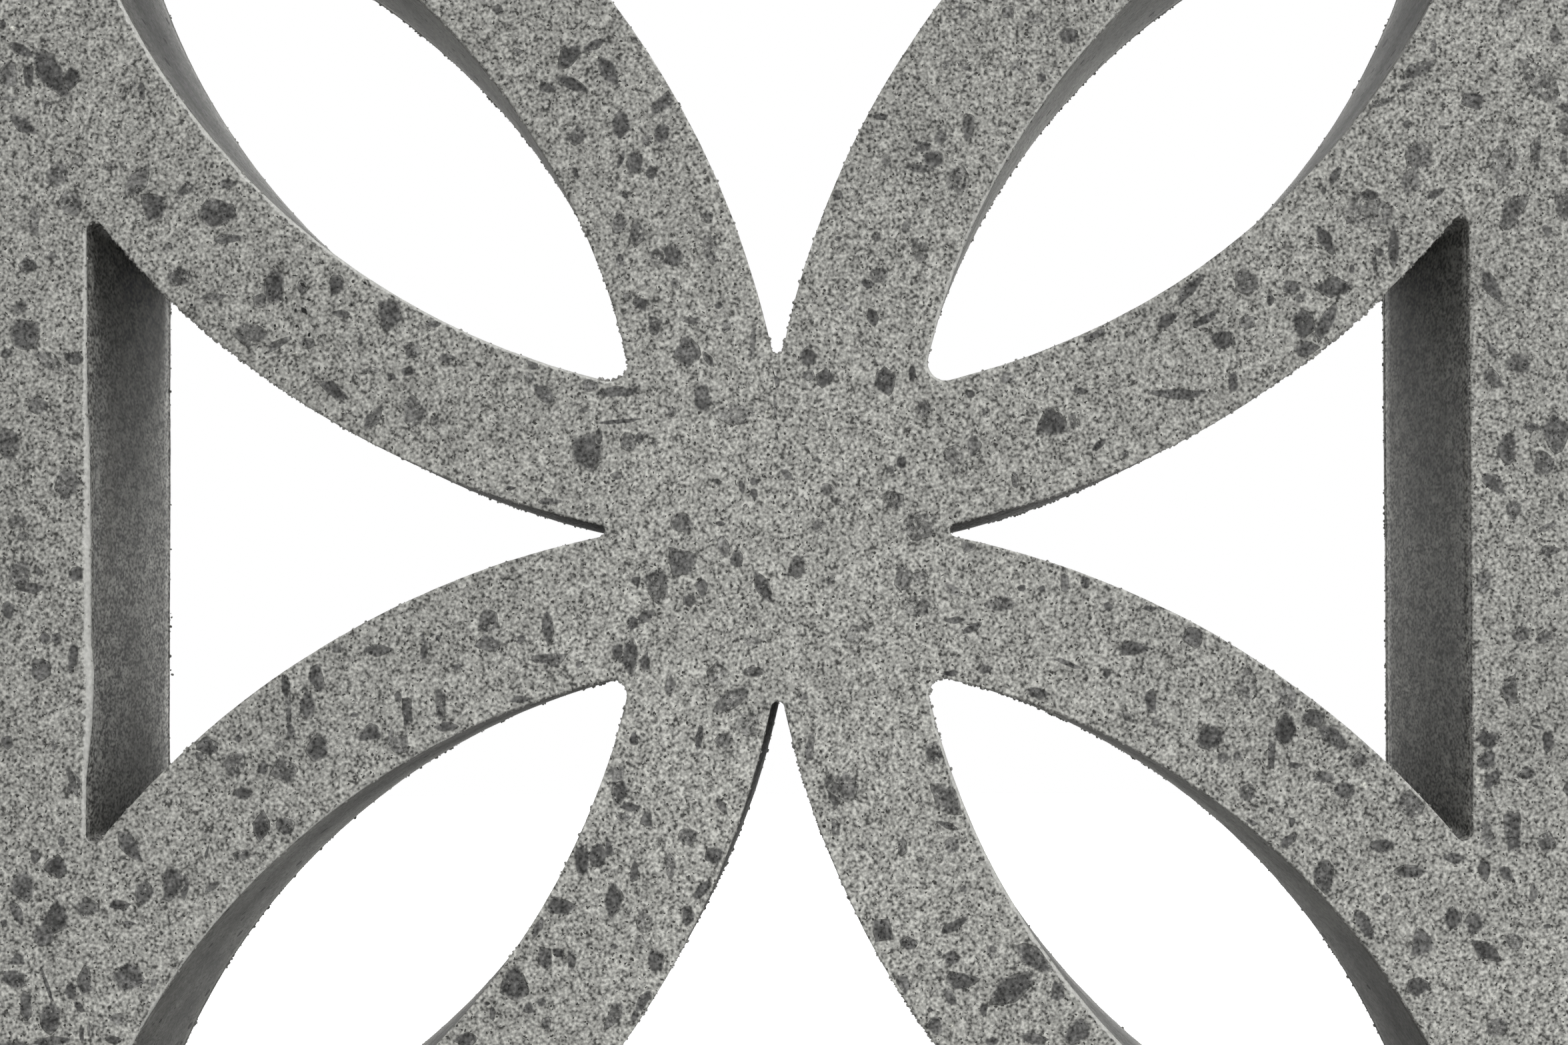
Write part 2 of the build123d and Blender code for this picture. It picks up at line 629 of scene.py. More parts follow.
@dataclass
class Casting:
    """The casting itself: a ground plate at the front and the back, and the cast walls between them."""

    pattern: Pattern
    finishes: dict[Finish, Material]
    wall_rows: int = 17
    lap: float = 0.2

    def __post_init__(self) -> None:
        """Draws the outlines that every piece of the casting shares."""
        self.sizes = self.pattern.sizes
        self.lines = self.pattern.outlines()

    def ring(self, bm: Mesh, line: Outline, place: Callable[[int], Vector]) -> Verts:
        """A closed ring of edges along an outline."""
        verts = [bm.verts.new(place(index)) for index in range(len(line.places))]
        for index, vert in enumerate(verts):
            bm.edges.new((verts[index - 1], vert))
        return verts

    def sweep(self, bm: Mesh, verts: Verts, place: Callable[[int], Vector], finish: Finish) -> Verts:
        """Extrudes a ring to its next station down the wall.

        Args:
            bm: The piece that is being shaped.
            verts: The ring's points, in order.
            place: Gives the new place of each point.
            finish: The finish of the new faces.

        Returns:
            The new ring's points, in the same order.
        """
        edges = [bm.edges.get((verts[index - 1], vert)) for index, vert in enumerate(verts)]
        made = bmesh.ops.extrude_edge_only(bm, edges=edges)["geom"]
        fresh = {item for item in made if isinstance(item, bmesh.types.BMVert)}
        following = []
        for index, vert in enumerate(verts):
            new = next(edge.other_vert(vert) for edge in vert.link_edges if edge.other_vert(vert) in fresh)
            new.co = place(index)
            following.append(new)
        for item in made:
            if isinstance(item, bmesh.types.BMFace):
                item.material_index = finish.value
                item.smooth = True
        return following

    def cap(self, bm: Mesh, rings: list[Verts], finish: Finish) -> None:
        """Fills the flat face between the block's outline and its openings."""
        edges = [bm.edges.get((ring[index - 1], vert)) for ring in rings for index, vert in enumerate(ring)]
        made = bmesh.ops.triangle_fill(bm, use_beauty=True, use_dissolve=False, edges=edges)
        for item in made["geom"]:
            if isinstance(item, bmesh.types.BMFace):
                item.material_index = finish.value
                item.smooth = False

    def finished(self, bm: Mesh, name: str) -> bpy.types.Object:
        """Turns a piece's faces outwards and puts it in the scene with the casting's materials."""
        bmesh.ops.recalc_face_normals(bm, faces=bm.faces[:])
        return finish_piece(bm, name, [self.finishes[finish] for finish in Finish])

    def plate(self, face: Face, name: str) -> bpy.types.Object:
        """A ground face with its worn arrises and the first of its walls."""
        bm = bmesh.new()
        across = bm.verts.layers.float.new("across")
        depth, lap = self.sizes.face_plate, self.lap
        end = depth if face is Face.FRONT else self.sizes.skin_depth - depth
        first, last = [], []
        for line in self.lines:
            profile = line.wear.profile_shares
            ring = self.ring(bm, line, lambda i, l=line: l.worn(i, face, *profile[0]))
            first.append(ring)
            for deep, wide in profile[1:]:
                ring = self.sweep(bm, ring, lambda i, l=line: l.worn(i, face, deep, wide), Finish.ARRIS)
                # The "across" value carries the pale skin share, with its painted highlight where the arris
                # faces right and up.
                for index, vert in enumerate(ring):
                    vert[across] = (1 - wide) * line.skin_and_highlight_share(index, face)
            ring = self.sweep(bm, ring, lambda i, l=line: l.at(i, end, 0.0), line.wall)
            ring = self.sweep(bm, ring, lambda i, l=line: l.at(i, end - face.value * lap, lap), line.wall)
            last.append(ring)
        self.cap(bm, first, Finish.GROUND)
        self.cap(bm, last, Finish.CAST)
        return self.finished(bm, name)

    def walls(self, name: str) -> bpy.types.Object:
        """The cast walls of the openings and of the block's four outer sides."""
        bm = bmesh.new()
        plate, skin = self.sizes.face_plate, self.sizes.skin_depth
        first, last = [], []
        for line in self.lines:
            ring = self.ring(bm, line, lambda i, l=line: l.at(i, plate, 0.0))
            first.append(ring)
            for row in range(1, self.wall_rows + 1):
                down = plate + (skin - 2 * plate) * row / self.wall_rows
                ring = self.sweep(bm, ring, lambda i, l=line, d=down: l.at(i, d, 0.0), line.wall)
            last.append(ring)
        self.cap(bm, first, Finish.CAST)
        self.cap(bm, last, Finish.CAST)
        return self.finished(bm, name)


@dataclass(frozen=True)
class BrokenPlace:
    """A length of arris that the photograph shows broken and crumbly, in pixels of its frame."""

    column: float
    row: float
    reach: float
    crumbs: int


@dataclass
class ArrisCrumbs:
    """The sand grains and specks of paste that stand along the arrises of the openings.

    Lengths are in millimetres, lumps are to the millimetre, and a pair is a range that a value is drawn from.
    """

    casting: Casting
    material: Material
    camera: PhotoCamera
    count: int = 2600
    smallest: float = 0.1
    largest: float = 0.38
    broken_size: float = 0.5
    size_power: float = 2.4
    depth_shares: Pair = (0.1, 2.0)
    width_shares: Pair = (-0.2, 0.3)
    stretch_shares: Pair = (0.7, 1.25)
    axis_tilt: float = 0.2
    room_share: float = 1.35
    level_chance: float = 0.4
    up_chance: float = -0.6
    right_chance: float = -0.15
    least_chance: float = 0.12
    cluster_chance: float = 0.45
    cluster_swing: float = 0.9
    cluster_lumps: float = 0.11
    least_cluster: float = 0.08
    seed: int = 41
    broken: tuple[BrokenPlace, ...] = (
        BrokenPlace(250, 460, 45, 80), BrokenPlace(300, 520, 40, 60), BrokenPlace(2050, 470, 60, 90),
        BrokenPlace(1980, 530, 50, 60), BrokenPlace(1160, 535, 30, 50), BrokenPlace(930, 560, 35, 50),
        BrokenPlace(1620, 1010, 80, 70), BrokenPlace(1420, 1050, 60, 50), BrokenPlace(800, 1040, 60, 40),
    )

    def chance(self, line: Outline, index: int) -> float:
        """How likely a crumb is at a point: most where the wall looks down."""
        right, up = line.direction(index)
        facing = self.level_chance + self.up_chance * up + self.right_chance * right
        swell = waves(line.places[index].to_3d(), [(self.cluster_swing, self.cluster_lumps)])
        return between(facing, self.least_chance) * between(self.cluster_chance + swell, self.least_cluster)

    def place(self, bm: Mesh, draw: random.Random, line: Outline, index: int, face: Face,
              largest: float) -> None:
        """Sets one crumb at a point of an arris, no bigger than the largest given."""
        radius = self.smallest + (largest - self.smallest) * draw.random() ** self.size_power
        deep, wide = draw.uniform(*self.depth_shares), draw.uniform(*self.width_shares)
        following = (index + 1) % len(line.places)
        spot = line.worn(index, face, deep, wide).lerp(line.worn(following, face, deep, wide), draw.random())
        limit = self.casting.sizes.depth / 2 - radius * self.room_share
        spot.y = between(spot.y, -limit, limit)
        angle = draw.uniform(0, math.tau)
        turn = Matrix.Rotation(angle, 4, Vector((draw.random(), draw.random(), self.axis_tilt)))
        stretch = Matrix.Diagonal((*(draw.uniform(*self.stretch_shares) for _ in range(3)), 1))
        crumb = bmesh.new()
        bmesh.ops.create_icosphere(crumb, subdivisions=1, radius=radius,
                                   matrix=Matrix.Translation(spot) @ turn @ stretch)
        gather(bm, crumb)

    def build(self, face: Face, name: str) -> bpy.types.Object:
        """Sets the crumbs along one face's arrises."""
        draw = random.Random(self.seed + int(face.value))
        bm = bmesh.new()
        sizes = self.casting.sizes
        lines = [line for line in self.casting.lines if line.seat is not None]
        spots = [(line, index) for line in lines for index in range(len(line.places))]
        placed = 0
        while placed < self.count:
            line, index = draw.choice(spots)
            if draw.random() > self.chance(line, index):
                continue
            placed += 1
            self.place(bm, draw, line, index, face, self.largest)
        for broken in self.broken if face is Face.FRONT else ():
            across, up = self.camera.on_front(sizes, broken.column, broken.row)
            side, _ = self.camera.on_front(sizes, broken.column + broken.reach, broken.row)
            middle, reach = Vector((across, up - sizes.side / 2)), side - across
            near = [(line, index) for line, index in spots if (line.places[index] - middle).length < reach]
            for _ in range(broken.crumbs if near else 0):
                self.place(bm, draw, *draw.choice(near), face, self.broken_size)
        for grain_side in bm.faces:
            grain_side.smooth = False
        return finish_piece(bm, name, [self.material])


@dataclass(frozen=True)
class Stone:
    """A stone seen in the photograph: its middle and size in pixels of the frame, and the way it leans."""

    column: float
    row: float
    wide: float
    high: float
    show: Exposure
    lean: int = 0


# The first letters of the five kinds, for the table of the stones that the photograph shows
B, V, F, Q, P = Exposure
STONES_READ = {
    "top, far left": (
        (78, 108, 46, 66, B, -1), (107, 118, 22, 30, B), (32, 74, 36, 18, B, -1), (12, 112, 30, 38, V),
        (42, 112, 16, 34, B), (4, 37, 8, 16, B), (12, 147, 26, 14, V), (33, 187, 38, 24, B, -1),
        (86, 262, 34, 32, V), (116, 240, 20, 16, F), (105, 305, 34, 40, V), (52, 330, 18, 52, V),
        (205, 272, 32, 42, V, 1), (228, 307, 38, 48, B), (277, 283, 26, 20, V), (325, 318, 50, 46, B),
        (341, 275, 26, 16, V), (343, 357, 38, 15, B), (163, 250, 22, 14, F), (68, 155, 14, 10, V),
        (212, 135, 10, 26, V), (199, 130, 8, 22, F), (42, 398, 26, 24, V), (78, 383, 14, 12, V),
        (250, 372, 14, 18, F),
    ),
    "top, left": (
        (746, 14, 16, 16, V), (776, 78, 12, 12, V), (853, 84, 30, 30, B, 1), (890, 68, 30, 18, B, 1),
        (857, 125, 46, 20, B, -1), (820, 130, 26, 20, V), (912, 105, 28, 42, B, -1), (994, 152, 30, 36, B, 1),
        (931, 187, 26, 40, B), (865, 203, 26, 28, V), (970, 212, 14, 20, V), (992, 200, 20, 30, B),
        (931, 238, 10, 26, B, 1), (952, 245, 26, 36, B), (977, 258, 16, 20, B), (937, 293, 8, 12, V),
        (928, 335, 20, 30, V), (955, 350, 20, 35, V), (1060, 325, 20, 18, V), (1005, 383, 36, 30, B),
        (1065, 370, 24, 50, F), (930, 390, 14, 22, V), (985, 385, 20, 24, F), (863, 258, 8, 14, B),
    ),
    "top, right": (
        (1443, 16, 14, 24, V), (1512, 18, 20, 20, V), (1550, 30, 30, 20, F), (1604, 54, 28, 22, B),
        (1562, 116, 14, 14, B), (1418, 97, 10, 18, V), (1447, 100, 20, 12, V, -1), (1320, 173, 20, 14, B),
        (1452, 190, 20, 40, V), (1383, 218, 22, 22, V), (1410, 205, 20, 24, V), (1400, 238, 30, 24, B),
        (1380, 252, 40, 12, V), (1330, 242, 16, 20, F), (1435, 268, 30, 40, F), (1255, 292, 16, 16, V),
        (1257, 358, 10, 8, B), (1315, 355, 12, 16, V), (1360, 340, 18, 18, V), (1378, 375, 26, 36, F),
        (1530, 100, 24, 20, F),
    ),
    "top, far right": (
        (2258, 15, 26, 30, F), (2332, 52, 16, 26, V), (2127, 104, 46, 26, V, 1), (2108, 130, 20, 14, V, 1),
        (2072, 153, 36, 14, V, 1), (2210, 150, 32, 24, B), (2293, 117, 14, 6, B), (2308, 122, 50, 62, F, -1),
        (2150, 68, 8, 22, V), (2110, 186, 14, 14, V), (2170, 190, 20, 10, F), (2130, 232, 40, 40, V),
        (2305, 225, 18, 50, V), (2345, 235, 14, 28, V), (2255, 245, 50, 60, F), (2002, 262, 16, 28, B, 1),
        (1985, 285, 8, 14, V), (2115, 272, 30, 34, V), (2055, 292, 24, 14, B), (2032, 315, 22, 34, B, 1),
        (2055, 315, 64, 60, F), (2152, 290, 26, 14, B, 1), (2105, 327, 14, 8, V), (1988, 358, 24, 40, B, -1),
        (2068, 378, 14, 14, B), (2090, 370, 16, 64, B), (2270, 315, 40, 44, V, 1), (2320, 345, 14, 16, V),
        (2062, 395, 8, 30, V), (2028, 403, 10, 14, B),
    ),
    "upper, far left": (
        (270, 415, 34, 26, V), (412, 430, 30, 50, B), (390, 450, 20, 20, V), (504, 428, 22, 36, B),
        (320, 445, 34, 12, V), (452, 430, 12, 20, B), (455, 465, 6, 8, B), (30, 462, 22, 18, V),
        (38, 500, 44, 50, B), (10, 530, 18, 16, V), (110, 537, 26, 20, B), (72, 540, 40, 28, F, -1),
        (510, 470, 24, 12, V), (583, 470, 36, 48, B), (375, 500, 44, 30, V), (417, 518, 32, 22, V, 1),
        (460, 515, 20, 16, V), (540, 510, 8, 20, V), (500, 585, 42, 24, B, -1), (585, 565, 16, 12, B),
        (560, 625, 24, 34, V, 1), (55, 608, 28, 26, V), (70, 610, 4, 8, B), (12, 665, 30, 50, V),
        (25, 782, 26, 18, V), (100, 728, 32, 44, V), (555, 555, 26, 10, F),
    ),
    "upper, left": (
        (650, 485, 18, 12, B), (618, 525, 22, 24, V), (612, 557, 20, 14, B), (670, 537, 22, 14, V),
        (622, 618, 30, 46, V), (655, 632, 22, 26, F), (798, 545, 16, 20, B), (795, 568, 14, 24, F),
        (815, 590, 30, 26, B, -1), (885, 578, 22, 24, V), (925, 587, 56, 16, B), (875, 615, 18, 8, V),
        (930, 631, 58, 8, B), (880, 680, 46, 54, B), (898, 655, 10, 24, V), (942, 662, 22, 28, V),
        (958, 657, 10, 16, B), (981, 662, 8, 18, V), (923, 712, 18, 14, V), (1028, 525, 40, 44, B),
        (1062, 538, 14, 22, B, -1), (1053, 597, 24, 44, B), (1008, 618, 12, 20, V), (960, 455, 20, 26, B),
        (940, 445, 14, 10, V), (982, 485, 20, 30, V), (1078, 458, 12, 10, B), (1035, 480, 24, 14, V),
        (1088, 490, 14, 20, V), (1128, 515, 10, 44, V), (1112, 730, 8, 24, B), (1130, 722, 14, 12, B),
        (1130, 740, 12, 14, B), (1180, 712, 18, 14, B, -1), (1022, 783, 30, 30, V), (1075, 722, 12, 8, V),
        (1080, 785, 14, 8, B), (765, 732, 14, 8, B), (825, 752, 30, 10, V), (1012, 425, 14, 12, V),
        (1100, 620, 50, 30, F),
    ),
    "upper, right": (
        (1317, 412, 26, 22, V), (1300, 425, 20, 14, B), (1308, 475, 16, 26, B), (1265, 460, 16, 10, F),
        (1212, 535, 24, 26, B), (1237, 568, 24, 24, B), (1212, 563, 18, 14, V), (1327, 572, 30, 42, B),
        (1368, 560, 10, 26, B), (1385, 612, 20, 24, V), (1455, 590, 14, 12, B), (1512, 567, 22, 18, V),
        (1478, 618, 12, 18, F), (1576, 637, 44, 46, B), (1608, 630, 12, 24, V), (1620, 586, 22, 12, B),
        (1640, 503, 28, 16, B, 1), (1750, 480, 30, 20, B, 1), (1648, 667, 18, 14, B, 1),
        (1688, 680, 10, 10, V), (1460, 668, 20, 28, V), (1430, 680, 26, 30, F), (1352, 693, 14, 20, B),
        (1335, 705, 12, 14, V), (1225, 690, 14, 8, V), (1342, 750, 30, 24, F), (1262, 755, 30, 14, F, -1),
        (1228, 788, 10, 24, V, 1), (1380, 787, 52, 42, F), (1435, 705, 8, 14, V), (1522, 720, 10, 20, V),
        (1720, 603, 8, 12, V), (1767, 588, 74, 26, B), (1240, 735, 20, 18, V),
    ),
    "upper, far right": (
        (1786, 435, 34, 40, B, 1), (1868, 422, 34, 38, V), (1936, 430, 28, 20, B), (2000, 430, 46, 28, B),
        (1806, 478, 34, 26, B, 1), (1834, 508, 34, 24, B), (1870, 483, 22, 18, V), (1905, 450, 10, 20, B),
        (1950, 447, 16, 12, V), (1955, 485, 32, 38, B), (1990, 483, 24, 52, B, 1), (1960, 522, 34, 24, B),
        (1849, 575, 14, 34, B), (1908, 555, 6, 20, V), (2237, 430, 26, 44, B, -1), (2238, 525, 16, 20, V, -1),
        (2278, 545, 34, 30, V), (2240, 568, 26, 24, V, -1), (2297, 640, 22, 12, B), (2333, 650, 40, 50, B),
        (2260, 673, 28, 42, B), (2315, 700, 30, 50, V), (2240, 725, 30, 32, B, -1), (2270, 765, 20, 30, V),
        (2342, 745, 10, 16, V), (2320, 790, 26, 14, V, 1), (2316, 583, 8, 6, B),
    ),
    "lower, far left": (
        (35, 805, 16, 12, V), (33, 862, 36, 40, V), (45, 882, 36, 16, B), (57, 858, 12, 12, V),
        (115, 862, 24, 22, B), (12, 915, 18, 26, B), (67, 957, 16, 16, B), (85, 957, 14, 16, B),
        (108, 985, 14, 44, B), (60, 1003, 28, 34, B), (10, 1113, 18, 22, B), (82, 1117, 16, 20, V),
        (108, 1172, 14, 40, V, -1), (428, 1030, 12, 34, B), (432, 1060, 8, 80, V), (436, 1098, 12, 22, B),
        (475, 1018, 22, 42, B), (460, 1058, 24, 36, B), (310, 1118, 32, 26, B), (298, 1135, 16, 14, V),
        (350, 1143, 38, 40, V), (425, 1155, 40, 44, V), (393, 1150, 16, 20, B), (475, 1122, 30, 38, B),
        (357, 1108, 10, 10, B), (418, 1118, 12, 12, V), (565, 975, 34, 16, B), (505, 972, 14, 18, V),
        (531, 1072, 12, 8, B), (553, 1100, 34, 26, B), (585, 1105, 10, 26, V), (596, 1045, 10, 16, B),
        (365, 1190, 26, 18, B),
    ),
    "lower, left": (
        (611, 1068, 14, 50, B), (600, 1115, 30, 26, V), (660, 1055, 16, 44, V), (668, 1090, 30, 14, B),
        (640, 952, 20, 8, B), (657, 957, 8, 10, B), (635, 975, 14, 34, V), (575, 975, 10, 10, B),
        (733, 932, 36, 34, V), (730, 965, 36, 26, B), (821, 942, 16, 48, B), (822, 985, 44, 30, V),
        (780, 958, 14, 14, B), (868, 997, 10, 10, B), (685, 1000, 14, 10, B), (780, 1050, 28, 14, B),
        (1020, 842, 50, 42, B), (955, 872, 16, 16, B), (985, 878, 42, 48, V), (1052, 880, 16, 30, B),
        (1033, 900, 20, 16, B), (965, 925, 30, 20, V, 1), (948, 935, 18, 20, B), (927, 980, 18, 26, B),
        (945, 985, 24, 54, B), (970, 992, 20, 26, B), (1105, 838, 18, 24, B), (1085, 820, 16, 30, V),
        (1145, 880, 24, 46, B, -1), (1005, 1028, 16, 30, V), (1077, 1012, 32, 34, F),
        (1096, 1047, 48, 34, V, 1), (1122, 1085, 36, 34, F), (950, 1108, 14, 18, B), (1048, 1108, 10, 36, B),
        (1085, 1110, 24, 24, V), (925, 1160, 26, 22, V), (930, 1187, 20, 30, B), (1130, 1008, 30, 14, V),
        (1130, 962, 26, 12, F),
    ),
    "lower, right": (
        (1196, 850, 24, 34, V), (1183, 862, 14, 6, B), (1225, 788, 20, 16, V), (1245, 868, 14, 16, V),
        (1355, 866, 26, 36, V), (1380, 867, 24, 18, F), (1379, 907, 44, 40, F), (1430, 885, 24, 16, V, -1),
        (1432, 930, 24, 10, B), (1458, 942, 24, 14, B, 1), (1450, 818, 26, 20, V), (1597, 875, 12, 26, B),
        (1627, 873, 14, 18, B), (1532, 882, 12, 10, B), (1562, 883, 10, 10, B), (1662, 910, 14, 14, B),
        (1725, 912, 18, 10, B), (1700, 972, 44, 26, B), (1281, 955, 22, 26, F), (1290, 942, 26, 12, F, 1),
        (1477, 1003, 20, 14, B), (1425, 1010, 24, 10, B), (1600, 995, 40, 14, B, -1), (1660, 1010, 12, 14, B),
        (1557, 1040, 30, 16, B), (1728, 1050, 26, 34, B), (1735, 1085, 16, 14, V), (1205, 1045, 16, 12, V),
        (1215, 1120, 14, 40, V), (1265, 1180, 40, 40, V), (1400, 1130, 26, 30, V),
        (1690, 1075, 30, 14, F, -1), (1500, 905, 40, 20, V),
    ),
    "lower, far right": (
        (1790, 955, 30, 30, B), (1868, 1030, 32, 54, F), (1932, 1045, 30, 36, V), (1815, 1105, 36, 36, B),
        (1927, 1095, 34, 48, B), (1906, 1130, 14, 46, B), (1970, 1077, 30, 24, B),
        (2000, 1105, 44, 30, B, -1), (1833, 1137, 18, 16, V), (1855, 1133, 14, 14, V),
        (1942, 1148, 20, 10, B), (1985, 1167, 30, 22, B), (2035, 1140, 26, 24, V), (2018, 1186, 30, 24, B),
        (2010, 1137, 8, 6, B), (2225, 872, 22, 36, V), (2280, 950, 26, 24, V), (2315, 955, 26, 20, V),
        (2265, 1035, 24, 44, V), (2230, 1108, 26, 32, B), (2230, 1140, 26, 28, B), (2237, 1168, 20, 26, B, 1),
        (2322, 1112, 18, 28, B), (2305, 1090, 20, 6, V, -1), (2290, 1160, 24, 20, V), (2335, 890, 12, 12, V),
        (2325, 825, 26, 16, V),
    ),
    "bottom, far left": (
        (110, 1175, 20, 30, B), (195, 1270, 30, 40, B, -1), (52, 1285, 14, 20, B), (82, 1300, 32, 34, B),
        (92, 1262, 10, 14, B), (33, 1330, 32, 40, B), (215, 1340, 26, 34, B), (258, 1325, 30, 50, B),
        (276, 1330, 14, 34, B), (25, 1370, 16, 34, B, -1), (80, 1378, 36, 52, B), (65, 1404, 32, 26, B),
        (5, 1385, 10, 12, B), (128, 1362, 36, 28, V), (178, 1358, 28, 18, B), (193, 1385, 18, 8, B),
        (362, 1283, 26, 24, V), (392, 1240, 22, 38, B), (428, 1238, 26, 26, V), (310, 1278, 6, 24, B, 1),
        (318, 1330, 20, 14, V, 1), (26, 1441, 22, 20, B), (20, 1468, 36, 26, B), (70, 1477, 16, 44, B, -1),
        (127, 1470, 24, 42, B), (105, 1488, 20, 24, B), (118, 1510, 16, 14, B, -1), (190, 1465, 46, 38, B),
        (230, 1475, 10, 14, V), (38, 1509, 18, 44, B), (74, 1526, 28, 46, B), (78, 1562, 52, 14, B),
        (122, 1550, 8, 24, B), (133, 1545, 6, 24, V), (170, 1560, 20, 12, B), (175, 1530, 26, 20, V),
    ),
    "bottom, left": (
        (927, 1187, 18, 46, B), (945, 1210, 26, 14, B), (970, 1230, 18, 28, B), (935, 1225, 20, 12, V),
        (872, 1290, 22, 42, B), (895, 1282, 26, 36, B), (912, 1274, 16, 26, B), (951, 1308, 12, 36, B),
        (1005, 1300, 14, 38, V), (920, 1350, 24, 50, B), (839, 1358, 42, 24, B), (806, 1393, 14, 28, B, 1),
        (1030, 1255, 26, 22, V), (1072, 1284, 28, 24, B), (1053, 1336, 20, 28, B, 1), (1031, 1375, 18, 28, B),
        (1082, 1208, 14, 24, V, -1), (967, 1380, 26, 34, F), (960, 1415, 14, 24, F), (984, 1437, 24, 38, B),
        (817, 1436, 20, 30, B), (838, 1430, 20, 14, B), (770, 1475, 42, 50, B), (920, 1420, 12, 8, B),
        (857, 1440, 12, 26, V), (793, 1515, 18, 24, B), (812, 1503, 14, 12, B), (738, 1520, 8, 22, B),
        (730, 1505, 8, 6, B), (963, 1503, 22, 30, B, 1), (952, 1525, 12, 18, B), (920, 1523, 24, 38, V, 1),
        (698, 1559, 30, 18, B), (820, 1535, 16, 20, V),
    ),
    "bottom, right": (
        (1250, 1185, 26, 50, V), (1272, 1185, 26, 30, V), (1253, 1240, 12, 30, V),
        (1418, 1198, 38, 42, V, -1), (1420, 1238, 30, 12, B, -1), (1428, 1268, 22, 24, V),
        (1353, 1270, 14, 26, V), (1380, 1289, 10, 6, B), (1292, 1272, 14, 10, V), (1323, 1395, 36, 32, B),
        (1361, 1415, 24, 20, B), (1432, 1386, 36, 22, B, 1), (1428, 1437, 20, 20, B), (1408, 1430, 10, 8, V),
        (1443, 1470, 42, 28, B), (1424, 1495, 20, 20, B, -1), (1354, 1478, 20, 30, B),
        (1518, 1481, 62, 42, B, 1), (1550, 1437, 48, 36, B, -1), (1585, 1487, 20, 30, B),
        (1487, 1425, 16, 22, V), (1475, 1513, 12, 24, B), (1402, 1540, 24, 26, B), (1550, 1558, 36, 22, B),
        (1615, 1549, 36, 38, B), (1487, 1562, 18, 12, B), (1445, 1333, 12, 10, B), (1395, 1515, 8, 6, B),
    ),
    "bottom, far right": (
        (2118, 1205, 36, 38, V), (2230, 1250, 18, 38, V), (2268, 1245, 32, 62, B), (2318, 1262, 26, 30, V),
        (2073, 1268, 34, 20, B), (1932, 1260, 22, 20, B, 1), (1937, 1233, 10, 16, B), (1986, 1315, 34, 48, B),
        (2115, 1307, 42, 17, B), (2180, 1287, 30, 18, B), (2225, 1303, 18, 28, B),
        (2259, 1310, 22, 20, B, -1), (2178, 1376, 26, 32, B), (2212, 1385, 26, 34, B),
        (2228, 1426, 40, 28, B, -1), (2132, 1417, 32, 46, B), (2270, 1412, 26, 20, V),
        (2125, 1481, 32, 27, B), (2046, 1387, 26, 38, B, -1), (1870, 1190, 24, 24, V), (1905, 1215, 8, 10, B),
        (1873, 1235, 22, 12, B), (2300, 1340, 12, 30, V), (2320, 1390, 12, 10, B), (2245, 1540, 30, 30, V),
        (2078, 1345, 10, 10, V),
    ),
    "pale grains": (
        (265, 166, 10, 12, Q), (18, 42, 8, 8, Q), (285, 305, 9, 9, Q), (442, 533, 12, 9, Q),
        (1428, 1537, 10, 10, Q), (2045, 1178, 12, 9, Q), (2218, 1170, 9, 9, Q), (640, 950, 10, 12, Q),
        (1152, 620, 9, 12, Q), (832, 90, 9, 8, Q), (890, 82, 12, 7, Q, -1),
    ),
    "painted pit shades": (
        (454, 427, 9, 7, P, -1), (456, 466, 8, 11, P, -1), (442, 413, 7, 4, P), (467, 518, 6, 5, P),
        (463, 502, 4, 6, P), (455, 516, 4, 6, P), (444, 489, 3, 5, P), (412, 488, 4, 4, P),
        (527, 457, 4, 4, P), (547, 424, 6, 4, P, -1), (463, 449, 7, 4, P), (428, 446, 3, 5, P),
        (443, 465, 4, 5, P), (272, 453, 4, 4, P), (287, 457, 5, 4, P),
    ),
    "fine seams": (
        (1163, 565, 5, 34, B), (1162, 612, 4, 40, V), (1164, 655, 4, 26, V),
    ),
}
STONES_SEEN = tuple(Stone(*entry) for part in STONES_READ.values() for entry in part)


